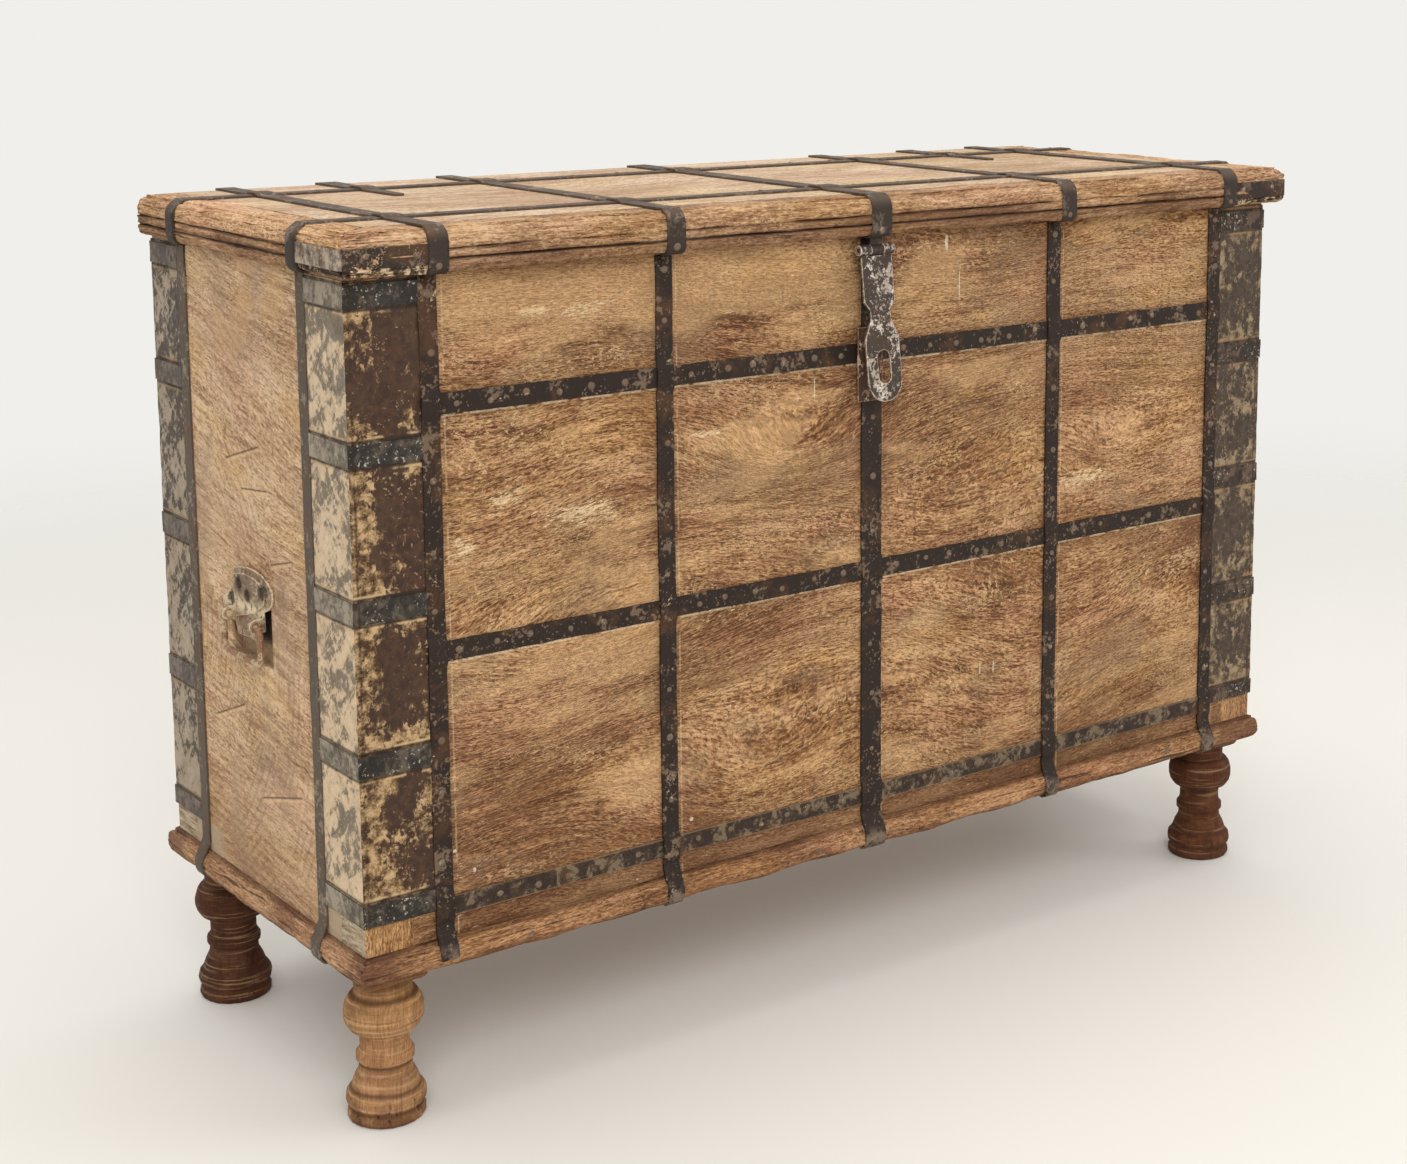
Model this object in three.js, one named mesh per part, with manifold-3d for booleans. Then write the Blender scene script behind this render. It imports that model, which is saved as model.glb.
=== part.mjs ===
// Iron-bound storage trunk on four turned legs.
// Millimetres, +Z up, +X to the right along the front, the front faces -Y.
import * as THREE from 'three';
import { mergeVertices } from 'three/addons/utils/BufferGeometryUtils.js';
import Module from 'manifold-3d';

const wasm = await Module();
wasm.setup();

// Case of boards between corner posts
const caseWidth = 1696;
const caseDepth = 626;
const caseHeight = 909;
const boardThickness = 25;
const postSide = 70;
const bottomThickness = 20;
const fitGap = 0.3;

// Base frame with a rounded edge, under the case
const frameHeight = 39;
const frameWidth = 110;
const frameProud = 14;
const frameQuirk = 4;
const frameLedgeShare = 0.35;

// Turned legs, each with a square pad under the frame's corner
const legHeight = 197;
const legRadius = 56;
const legInsetX = 53;
const legInsetY = 61;
const padSide = 92;
const padHeight = 21;
const padRound = 12;

// Iron straps
const strapThickness = 3;
const strapRamp = 7;
const uprightWidth = 27;
const middleUprightWidth = 38;
const crossWidth = 28;
const sideStrapWidth = 25;
const strapEase = 14;
const strapTuck = 6;
const strapTopGap = 5;
const uprightShares = [-0.863, -0.434, 0, 0.434, 0.863];
const uprightWrapAngles = [-15, -90, -90, -90, -90];
const crossLevelShares = [0.048, 0.438, 0.806];
const sideStrapShares = [-0.61, 0.65];

// Sheet iron over the corner posts, with raised bands
const sheetThickness = 1.5;
const bandProud = 1.6;
const bandHeight = 31;
const sheetLift = 41;
const backLeafWidth = 104;
const bandLevelShares = {
  front_left: [0.02, 0.257, 0.497, 0.738, 0.976],
  front_right: [0.012, 0.225, 0.462, 0.712, 0.972],
  back_left: [0.014, 0.253, 0.507, 0.776, 0.978],
  back_right: [0.02, 0.257, 0.497, 0.738, 0.976],
};

// Lid: moulded rails round a field of boards
const lidHeight = 59;
const lidFront = 35;
const lidSide = 20;
const lidRailWidth = 60;
const lidBoardThickness = 28;
const lidUnderRound = 12;
const lidOvoloWidth = 14;
const lidOvoloHeight = 17;
const lidBead = 3;
const lidGrooveWidth = 3.2;
const lidGrooveDepth = 4;
const lidGrooveShares = [0.3, 0.52];
const lidCornerRadius = 8;
const lidStrapWidth = 29;
const middleLidStrapWidth = 36;
const lengthStrapWidth = 26;
const lengthStrapShares = [-0.67, 0.6];
const lidBackTurn = 28;
const cornerPlateHeight = 27;

// Strap hinges at the back
const hingeShare = 0.672;
const hingeWidth = 36;
const hingeTipWidth = 18;
const hingeTopReach = 245;
const hingeBackReach = 190;
const hingeBarrelRadius = 7;
const hingePinRadius = 3.2;
const hingeMiddle = 13;

// Hasp under the middle of the lid's front edge
const haspOffset = -8;
const haspLength = 226;
const haspThickness = 3.5;
const haspWidth = 57;
const haspNeckWidth = 37;
const haspLobeWidth = 63;
const haspBarrelLength = 64;
const haspBarrelRadius = 8;
const haspBarrelMiddle = 22;
const haspPinRadius = 3.5;
const haspDrop = 21;
const haspSetBack = 14;
const haspLean = 7;
const haspSlotWidth = 23;
const haspSlotLength = 50;
const haspSlotCentre = 174;
const haspNeckShares = [0.34, 0.4, 0.46, 0.58];

// Staple that the hasp rests on
const staplePlateWidth = 46;
const staplePlateHeight = 112;
const staplePlateThickness = 2.5;
const stapleRod = 7;
const stapleHeight = 28;
const stapleGap = 0.6;

// Lifting handles, one on each end
const handleY = 12;
const handleHeightShare = 0.435;
const handlePlateThickness = 3;
const handleReach = 93;
const handleRise = 73;
const handleBulge = 4;
const handleBulgeShare = 0.8;
const handleBulgeCentreShares = [0.08, 0.41];
const handleDentRadius = 8;
const handleDentDepth = 3;
const lugFootRise = 20;
const bailSpan = 122;
const bailDrop = 53;
const bailRod = 10;
const bailCorner = 12;
const bailPinPast = 3;
const bailStandOff = 15;
const lugThickness = 6;
const lugRadius = 10;
const lugGap = 0.5;
const recessWidth = 136;
const recessHeight = 86;
const recessDepth = 14;
const recessDrop = 17;

// Facets
const curveSteps = 8;
const turnedSides = 20;
const roundSides = 20;
const rodSides = 8;
const rodSteps = 40;
const loopSteps = 18;
const overrun = 20;

// Places that follow from the sizes
const halfWidth = caseWidth / 2;
const halfDepth = caseDepth / 2;
const frameBottom = legHeight + padHeight;
const frameTop = frameBottom + frameHeight;
const rim = frameTop + caseHeight;
const lidBottom = rim + fitGap;
const lidTop = lidBottom + lidHeight;
const lidFrontFace = halfDepth + lidFront;
const lidSideFace = halfWidth + lidSide;
const strapLift = strapThickness + fitGap;
const crossLevels = crossLevelShares.map((share) => frameTop + share * caseHeight);
const uprightPlaces = uprightShares.map((share) => share * halfWidth);
const sideStrapPlaces = sideStrapShares.map((share) => share * halfDepth);
const lengthStrapPlaces = lengthStrapShares.map((share) => share * halfDepth);
const hingeAxisY = halfDepth + fitGap + hingeBarrelRadius;
const hingeAxisZ = rim;
const haspAxisY = -(lidFrontFace - haspSetBack);
const haspAxisZ = lidBottom - haspDrop;
const bailAxisZ = frameTop + handleHeightShare * caseHeight;
const bailAxisOut = bailStandOff;

// Materials
const wood = { color: 0x9c7450, roughness: 0.78, metalness: 0 };
const paleWood = { color: 0xb08a64, roughness: 0.8, metalness: 0 };
const darkIron = { color: 0x3a342f, roughness: 0.62, metalness: 0.75 };
const wornSheet = { color: 0x6f675b, roughness: 0.7, metalness: 0.35 };
const brightIron = { color: 0x6c655e, roughness: 0.5, metalness: 0.8 };

const trunk = new THREE.Group();
const meshes = new Map();

function add(name, geometry, finish) {
  const mesh = new THREE.Mesh(geometry, new THREE.MeshStandardMaterial(finish));
  mesh.name = name;
  geometry.computeVertexNormals();
  trunk.add(mesh);
  meshes.set(name, mesh);
}

// Solids for joining and cutting
function solid(geometry) {
  geometry.deleteAttribute('normal');
  geometry.deleteAttribute('uv');
  const merged = mergeVertices(geometry);
  return new wasm.Manifold(new wasm.Mesh({
    numProp: 3,
    vertProperties: new Float32Array(merged.attributes.position.array),
    triVerts: new Uint32Array(merged.index.array),
  }));
}

function surface(body) {
  const mesh = body.getMesh();
  const geometry = new THREE.BufferGeometry();
  geometry.setAttribute('position', new THREE.BufferAttribute(mesh.vertProperties, 3));
  geometry.setIndex(new THREE.BufferAttribute(mesh.triVerts, 1));
  return geometry;
}

// Outlines are lists of [a, b] points
function arc(a, b, radiusA, radiusB, from, to, steps) {
  const points = [];
  for (let i = 0; i <= steps; i += 1) {
    const angle = THREE.MathUtils.degToRad(from + (to - from) * i / steps);
    points.push([a + radiusA * Math.cos(angle), b + radiusB * Math.sin(angle)]);
  }
  return points;
}

function disc(a, b, radius) {
  return arc(a, b, radius, radius, 0, 360, roundSides).slice(0, roundSides);
}

function rectangle(a0, a1, b0, b1) {
  return [[a0, b0], [a1, b0], [a1, b1], [a0, b1]];
}

function extrude(outline, depth) {
  const shape = new THREE.Shape(outline.map(([a, b]) => new THREE.Vector2(a, b)));
  return new THREE.ExtrudeGeometry(shape, { depth, bevelEnabled: false });
}

const axisX = new THREE.Vector3(1, 0, 0);
const axisY = new THREE.Vector3(0, 1, 0);
const axisZ = new THREE.Vector3(0, 0, 1);

// Outline in y and z
function alongX(outline, from, to) {
  const place = new THREE.Matrix4().makeBasis(axisY, axisZ, axisX).setPosition(from, 0, 0);
  return extrude(outline, to - from).applyMatrix4(place);
}

// Outline in x and z
function alongY(outline, from, to) {
  const place = new THREE.Matrix4().makeBasis(axisX, axisZ, axisY.clone().negate());
  return extrude(outline, to - from).applyMatrix4(place.setPosition(0, to, 0));
}

// Outline in x and y
function alongZ(outline, from, to) {
  return extrude(outline, to - from).translate(0, 0, from);
}

// An open path moved to its left by a distance, with mitred corners
function offset(path, distance) {
  return path.map((point, i) => {
    const here = new THREE.Vector2(...point);
    const before = new THREE.Vector2(...path[Math.max(i - 1, 0)]);
    const after = new THREE.Vector2(...path[Math.min(i + 1, path.length - 1)]);
    const intoPoint = i === 0 ? after.clone().sub(here) : here.clone().sub(before);
    const outOfPoint = i === path.length - 1 ? intoPoint.clone() : after.clone().sub(here);
    const normalIn = new THREE.Vector2(-intoPoint.y, intoPoint.x).normalize();
    const normalOut = new THREE.Vector2(-outOfPoint.y, outOfPoint.x).normalize();
    const middle = normalIn.clone().add(normalOut).normalize();
    const moved = here.addScaledVector(middle, distance / middle.dot(normalIn));
    return [moved.x, moved.y];
  });
}

// Section of a strap that lies on a path, on the path's left
function ribbon(path, thickness) {
  const near = offset(path, fitGap);
  const far = offset(path, fitGap + thickness);
  return [...near, ...far.reverse()];
}

// Path points that lift a strap over another one
function stepOver(centre, width) {
  const reach = width / 2 + fitGap;
  return [
    [centre - reach - strapRamp, 0],
    [centre - reach, strapLift],
    [centre + reach, strapLift],
    [centre + reach + strapRamp, 0],
  ];
}

const mirrored = (outline) => outline.map(([a, b]) => [-a, b]);

// Case boards and posts
const postInner = { x: halfWidth - postSide, y: halfDepth - postSide };
const boardEnd = { x: postInner.x - fitGap, y: postInner.y - fitGap };
const caseFloor = frameTop + fitGap;
const frontJoint = crossLevels[1];
for (const [name, side, from, to] of [
  ['front_board_lower', -1, caseFloor, frontJoint],
  ['front_board_upper', -1, frontJoint + fitGap, rim],
  ['back_board', 1, caseFloor, rim],
]) {
  const edges = [side * halfDepth, side * (halfDepth - boardThickness)];
  const outline = rectangle(Math.min(...edges), Math.max(...edges), from, to);
  add(name, alongX(outline, -boardEnd.x, boardEnd.x), wood);
}

const sideJoint = bailAxisZ - recessDrop;
const recess = {
  top: sideJoint + recessHeight / 2,
  bottom: sideJoint - recessHeight / 2,
  inner: halfWidth - recessDepth,
};

for (const [end, side] of [['left', -1], ['right', 1]]) {
  const edges = [side * halfWidth, side * (halfWidth - boardThickness)];
  const pocketEdges = [side * recess.inner, side * (halfWidth + overrun)];
  const pocket = solid(alongX(
    rectangle(handleY - recessWidth / 2, handleY + recessWidth / 2, recess.bottom, recess.top),
    Math.min(...pocketEdges),
    Math.max(...pocketEdges),
  ));
  for (const [level, from, to] of [['lower', caseFloor, sideJoint], ['upper', sideJoint + fitGap, rim]]) {
    const outline = rectangle(-boardEnd.y, boardEnd.y, from, to);
    const board = solid(alongX(outline, Math.min(...edges), Math.max(...edges)));
    add(`${end}_board_${level}`, surface(board.subtract(pocket)), wood);
  }
}

const corners = [['front_left', -1, -1], ['front_right', 1, -1], ['back_left', -1, 1], ['back_right', 1, 1]];
for (const [corner, sideX, sideY] of corners) {
  const xs = [sideX * postInner.x, sideX * halfWidth];
  const ys = [sideY * postInner.y, sideY * halfDepth];
  const outline = rectangle(Math.min(...xs), Math.max(...xs), Math.min(...ys), Math.max(...ys));
  add(`post_${corner}`, alongZ(outline, caseFloor, rim), paleWood);
}

// Bottom board, notched round the posts
const floorX = halfWidth - boardThickness - fitGap;
const floorY = halfDepth - boardThickness - fitGap;
const bottomOutline = [];
for (const [sideX, sideY] of [[-1, -1], [1, -1], [1, 1], [-1, 1]]) {
  const notch = [
    [sideX * floorX, sideY * boardEnd.y],
    [sideX * boardEnd.x, sideY * boardEnd.y],
    [sideX * boardEnd.x, sideY * floorY],
  ];
  bottomOutline.push(...(sideX === sideY ? notch : notch.reverse()));
}
add('bottom_board', alongZ(bottomOutline, caseFloor, caseFloor + bottomThickness), wood);

// Base frame rails, mitred at the corners
const bulgeHeight = frameHeight - frameQuirk;
const ledge = frameProud * frameLedgeShare;
const bulgeCentre = frameBottom + bulgeHeight / 2;
const bulge = (from, to) => arc(ledge, bulgeCentre, frameProud - ledge, bulgeHeight / 2, from, to, curveSteps);
const railSection = [
  [-frameWidth, frameBottom],
  ...bulge(-90, 90),
  [ledge, frameTop],
  [-frameWidth, frameTop],
];

// Trapezoid in plan for a mitred rail: t is measured outwards from the given faces
function mitrePlan(faceAlong, faceAcross, outer, inner, trim) {
  return [
    [-(faceAlong + outer - trim), -(faceAcross + outer)],
    [faceAlong + outer - trim, -(faceAcross + outer)],
    [faceAlong - inner - trim, -(faceAcross - inner)],
    [-(faceAlong - inner - trim), -(faceAcross - inner)],
  ];
}

const railEnd = halfWidth + frameProud + overrun;
const railSideEnd = halfDepth + frameProud + overrun;
const frontPlan = mitrePlan(halfWidth, halfDepth, frameProud + overrun, frameWidth + overrun, fitGap);
const endPlan = mitrePlan(halfDepth, halfWidth, frameProud + overrun, frameWidth + overrun, 0);
const slabBottom = frameBottom - overrun;
const slabTop = frameTop + overrun;
for (const [face, side] of [['front', -1], ['back', 1]]) {
  const outline = railSection.map(([out, z]) => [side * (halfDepth + out), z]);
  const plan = frontPlan.map(([x, y]) => [x, -side * y]);
  const rail = solid(alongX(outline, -railEnd, railEnd)).intersect(solid(alongZ(plan, slabBottom, slabTop)));
  add(`frame_rail_${face}`, surface(rail), wood);
}
for (const [end, side] of [['left', -1], ['right', 1]]) {
  const outline = railSection.map(([out, z]) => [side * (halfWidth + out), z]);
  const plan = endPlan.map(([y, x]) => [-side * x, y]);
  const rail = solid(alongY(outline, -railSideEnd, railSideEnd))
    .intersect(solid(alongZ(plan, slabBottom, slabTop)));
  add(`frame_rail_${end}`, surface(rail), wood);
}

// Turned leg: beads between plain necks, from the floor up, as shares of height and radius
const legBeadShares = [
  { from: 0, to: 0.084, base: 0.85, bulge: 0.125, start: -60, steps: 3 },
  { from: 0.094, to: 0.225, base: 0.865, bulge: 0.13, start: -75, steps: 4 },
  { from: 0.405, to: 0.53, base: 0.62, bulge: 0.12, start: -80, steps: 3 },
  { from: 0.605, to: 0.93, base: 0.61, bulge: 0.39, start: -75, steps: 7 },
];
const legConeShares = [[0.86, 0.235], [0.84, 0.25], [0.77, 0.305], [0.67, 0.36], [0.66, 0.395]];
const legNeckShares = [[0.625, 0.54], [0.625, 0.595]];
const legTopShares = [[0.73, 0.94], [0.73, 1]];

function legProfile() {
  const bead = ({ from, to, base, bulge: swell, start, steps }) => arc(
    base * legRadius,
    (from + to) / 2 * legHeight,
    swell * legRadius,
    (to - from) / 2 * legHeight,
    start,
    -start,
    steps,
  );
  const line = (shares) => shares.map(([radius, height]) => [radius * legRadius, height * legHeight]);
  const [foot, shoulder, ring, ball] = legBeadShares.map(bead);
  return [
    [0, 0],
    [foot[0][0], 0],
    ...foot.slice(1),
    ...shoulder,
    ...line(legConeShares),
    ...ring,
    ...line(legNeckShares),
    ...ball,
    ...line(legTopShares),
    [0, legHeight],
  ];
}

const roundedPad = [
  ...arc(-padSide / 2 + padRound, legHeight + padRound, padRound, padRound, 180, 270, curveSteps / 2),
  ...arc(padSide / 2 - padRound, legHeight + padRound, padRound, padRound, 270, 360, curveSteps / 2),
  [padSide / 2, frameBottom - fitGap],
  [-padSide / 2, frameBottom - fitGap],
];
const turned = new THREE.LatheGeometry(
  legProfile().map(([radius, height]) => new THREE.Vector2(radius, height)),
  turnedSides,
).rotateX(Math.PI / 2);
const leg = solid(turned)
  .add(solid(alongX(roundedPad, -padSide / 2, padSide / 2))
    .intersect(solid(alongY(roundedPad, -padSide / 2, padSide / 2))));
for (const [corner, sideX, sideY] of corners) {
  const place = [sideX * (halfWidth - legInsetX), sideY * (halfDepth - legInsetY), 0];
  add(`leg_${corner}`, surface(leg).translate(...place), wood);
}

// Straps on the case, as paths of [out, z] from the case's face
function wrapPath(fromAngle) {
  const tuck = fromAngle <= -90 ? [[ledge - strapTuck, frameBottom]] : [];
  return [...tuck, ...bulge(fromAngle, 70), [0, frameTop + strapEase]];
}

const strapTop = rim - strapTopGap;
const uprightEdges = uprightPlaces.map((x, i) => {
  const width = i === 2 ? middleUprightWidth : uprightWidth;
  return [x - width / 2, x + width / 2];
});
uprightPlaces.forEach((x, i) => {
  const path = wrapPath(uprightWrapAngles[i]);
  for (const level of crossLevels) {
    path.push(...stepOver(level, crossWidth).map(([z, out]) => [out, z]));
  }
  path.push([0, strapTop]);
  const onFace = path.map(([out, z]) => [-(halfDepth + out), z]);
  add(`front_upright_${i + 1}`, alongX(ribbon(onFace, strapThickness), ...uprightEdges[i]), darkIron);
});

const crossEnds = [uprightEdges[0][0] + fitGap, uprightEdges[4][1] - fitGap];
const crossFace = [-(halfDepth + fitGap + strapThickness), -(halfDepth + fitGap)];
['low', 'middle', 'high'].forEach((name, i) => {
  const outline = rectangle(...crossFace, crossLevels[i] - crossWidth / 2, crossLevels[i] + crossWidth / 2);
  add(`front_cross_${name}`, alongX(outline, ...crossEnds), darkIron);
});

const sidePath = [...wrapPath(-90), [0, strapTop]];
const leftSection = ribbon(sidePath.map(([out, z]) => [-(halfWidth + out), z]), strapThickness);
const sideStrapEdges = sideStrapPlaces.map((y) => [y - sideStrapWidth / 2, y + sideStrapWidth / 2]);
for (const [end, section] of [['left', leftSection], ['right', mirrored(leftSection)]]) {
  add(`${end}_strap_front`, alongY(section, ...sideStrapEdges[0]), darkIron);
  add(`${end}_strap_back`, alongY(section, ...sideStrapEdges[1]), darkIron);
}

// Sheet iron angle round a corner, in plan, for the corner at -x and -y
function anglePlan(reachX, reachY, thickness) {
  const nearX = -(halfWidth + fitGap);
  const nearY = -(halfDepth + fitGap);
  return [
    [nearX, reachY],
    [nearX, nearY],
    [reachX, nearY],
    [reachX, nearY - thickness],
    [nearX - thickness, nearY - thickness],
    [nearX - thickness, reachY],
  ];
}

const sheetBottom = frameTop + sheetLift;
const sheetTop = rim - strapTopGap;
for (const [corner, sideX, sideY] of corners) {
  const frontReach = sideX < 0 ? uprightEdges[0][0] - fitGap : -(uprightEdges[4][1] + fitGap);
  const reachX = sideY < 0 ? frontReach : -(halfWidth - backLeafWidth);
  const reachY = sideY < 0 ? sideStrapEdges[0][0] - fitGap : -(sideStrapEdges[1][1] + fitGap);
  const plan = (thickness) => anglePlan(reachX, reachY, thickness).map(([x, y]) => [-sideX * x, -sideY * y]);
  let sheet = solid(alongZ(plan(sheetThickness), sheetBottom, sheetTop));
  for (const share of bandLevelShares[corner]) {
    const middle = sheetBottom + share * (sheetTop - sheetBottom);
    const from = Math.max(middle - bandHeight / 2, sheetBottom);
    const to = Math.min(middle + bandHeight / 2, sheetTop);
    sheet = sheet.add(solid(alongZ(plan(sheetThickness + bandProud), from, to)));
  }
  add(`corner_sheet_${corner}`, surface(sheet), wornSheet);
}

// Lid rails, with the moulded section as [out, z] from the outermost face
const ovoloBase = lidTop - lidBead - lidOvoloHeight;
const underRound = (from, to) => arc(
  -lidUnderRound,
  lidBottom + lidUnderRound,
  lidUnderRound,
  lidUnderRound,
  from,
  to,
  curveSteps / 2,
);
const ovolo = (from, to) => arc(-lidOvoloWidth, ovoloBase, lidOvoloWidth, lidOvoloHeight, from, to, curveSteps);
const grooves = lidGrooveShares.flatMap((share) => {
  const z = lidBottom + share * lidHeight;
  return [[0, z - lidGrooveWidth / 2], [-lidGrooveDepth, z], [0, z + lidGrooveWidth / 2]];
});
const lidSection = [
  [-lidRailWidth, lidBottom],
  ...underRound(-90, 0),
  ...grooves,
  ...ovolo(0, 90),
  [-lidOvoloWidth, lidTop],
  [-lidRailWidth, lidTop],
];
const lidPlan = [
  ...arc(-lidSideFace + lidCornerRadius, -lidFrontFace + lidCornerRadius, lidCornerRadius, lidCornerRadius,
    180, 270, curveSteps),
  ...arc(lidSideFace - lidCornerRadius, -lidFrontFace + lidCornerRadius, lidCornerRadius, lidCornerRadius,
    270, 360, curveSteps),
  [lidSideFace, halfDepth],
  [-lidSideFace, halfDepth],
];
const lidBlock = solid(alongZ(lidPlan, lidBottom - overrun, lidTop + overrun));
const lidSlab = [lidBottom - overrun, lidTop + overrun];

const lidFrontPlan = mitrePlan(lidSideFace, lidFrontFace, overrun, lidRailWidth + overrun, fitGap);
const frontRail = solid(alongX(
  lidSection.map(([out, z]) => [-(lidFrontFace + out), z]),
  -(lidSideFace + overrun),
  lidSideFace + overrun,
)).intersect(solid(alongZ(lidFrontPlan, ...lidSlab))).intersect(lidBlock);
add('lid_rail_front', surface(frontRail), wood);

for (const [end, side] of [['left', -1], ['right', 1]]) {
  const outline = lidSection.map(([out, z]) => [side * (lidSideFace + out), z]);
  const outer = lidSideFace + overrun;
  const inner = lidSideFace - lidRailWidth - overrun;
  const plan = [
    [side * outer, -(lidFrontFace + overrun)],
    [side * inner, -(lidFrontFace - lidRailWidth - overrun)],
    [side * inner, halfDepth + overrun],
    [side * outer, halfDepth + overrun],
  ];
  const rail = solid(alongY(outline, -(lidFrontFace + overrun), halfDepth + overrun))
    .intersect(solid(alongZ(plan, ...lidSlab)))
    .intersect(lidBlock);
  add(`lid_rail_${end}`, surface(rail), wood);
}

const fieldX = lidSideFace - lidRailWidth - fitGap;
const fieldBottom = lidTop - lidBoardThickness;
const fieldJoint = lengthStrapPlaces[1];
const frontBoard = rectangle(-(lidFrontFace - lidRailWidth) + fitGap, fieldJoint, fieldBottom, lidTop);
add('lid_board_front', alongX(frontBoard, -fieldX, fieldX), wood);
const backBoard = [
  [fieldJoint + fitGap, fieldBottom],
  [halfDepth - lidRailWidth, fieldBottom],
  [halfDepth - lidRailWidth, lidBottom],
  [halfDepth, lidBottom],
  [halfDepth, lidTop],
  [fieldJoint + fitGap, lidTop],
];
add('lid_board_back', alongX(backBoard, -fieldX, fieldX), wood);

// Straps over the lid, as paths round the rail's outer edge
const edgePath = [
  [-lidUnderRound - strapTuck, lidBottom],
  ...underRound(-90, 0),
  ...ovolo(0, 60),
  [-lidOvoloWidth, lidTop],
];

const leftEdge = edgePath.map(([out, z]) => [-(lidSideFace + out), z]);
const lengthPath = [...leftEdge, ...mirrored(leftEdge).reverse()];
['front', 'back'].forEach((name, i) => {
  const y = lengthStrapPlaces[i];
  const section = ribbon(lengthPath, strapThickness);
  add(`lid_length_strap_${name}`,
    alongY(section, y - lengthStrapWidth / 2, y + lengthStrapWidth / 2), darkIron);
});

const frontEdge = edgePath.map(([out, z]) => [-(lidFrontFace + out), z]);
const overLengthStraps = lengthStrapPlaces
  .flatMap((y) => stepOver(y, lengthStrapWidth))
  .map(([y, rise]) => [y, lidTop + rise]);
const lidStrapPath = [...frontEdge, ...overLengthStraps, [halfDepth, lidTop], [halfDepth, lidTop - lidBackTurn]];
const lidStrapSection = ribbon(lidStrapPath, strapThickness);
uprightPlaces.forEach((x, i) => {
  if (i === 2) {
    return;
  }
  add(`lid_strap_${i + 1}`, alongX(lidStrapSection, x - lidStrapWidth / 2, x + lidStrapWidth / 2), darkIron);
});

// Barrel parts: a round bar along X and a hole through it
const barAlongX = (y, z, radius, from, to) => solid(alongX(disc(y, z, radius), from, to));

// Middle lid strap, with the hasp's middle knuckle and its pin
const haspX = haspOffset;
const knuckleHalf = haspBarrelMiddle / 2;
const dropFace = haspAxisY - strapThickness / 2;
const dropLeaf = rectangle(dropFace, dropFace + strapThickness, haspAxisZ, lidBottom - fitGap);
const middleStrap = solid(alongX(
  lidStrapSection,
  haspX - middleLidStrapWidth / 2,
  haspX + middleLidStrapWidth / 2,
))
  .add(solid(alongX(dropLeaf, haspX - knuckleHalf, haspX + knuckleHalf)))
  .add(barAlongX(haspAxisY, haspAxisZ, haspBarrelRadius, haspX - knuckleHalf, haspX + knuckleHalf))
  .add(barAlongX(haspAxisY, haspAxisZ, haspPinRadius, haspX - haspBarrelLength / 2, haspX + haspBarrelLength / 2));
add('lid_strap_3', surface(middleStrap), darkIron);

// Sheet iron plates round the lid's front corners, on the flat of the moulding
const plateBottom = lidBottom + lidUnderRound;
const plateTop = Math.min(plateBottom + cornerPlateHeight, ovoloBase);
for (const [end, side] of [['left', -1], ['right', 1]]) {
  const strapEdge = side < 0
    ? uprightPlaces[0] - lidStrapWidth / 2 - fitGap
    : -(uprightPlaces[4] + lidStrapWidth / 2 + fitGap);
  const sideEdge = lengthStrapPlaces[0] - lengthStrapWidth / 2 - fitGap;
  const bend = (distance) => arc(
    -lidSideFace + lidCornerRadius,
    -lidFrontFace + lidCornerRadius,
    lidCornerRadius + distance,
    lidCornerRadius + distance,
    180,
    270,
    curveSteps,
  );
  const near = [[-(lidSideFace + fitGap), sideEdge], ...bend(fitGap), [strapEdge, -(lidFrontFace + fitGap)]];
  const reach = fitGap + sheetThickness;
  const far = [[-(lidSideFace + reach), sideEdge], ...bend(reach), [strapEdge, -(lidFrontFace + reach)]];
  const plan = [...near, ...far.reverse()].map(([x, y]) => [-side * x, y]);
  add(`lid_corner_plate_${end}`, alongZ(plan, plateBottom, plateTop), wornSheet);
}

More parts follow.
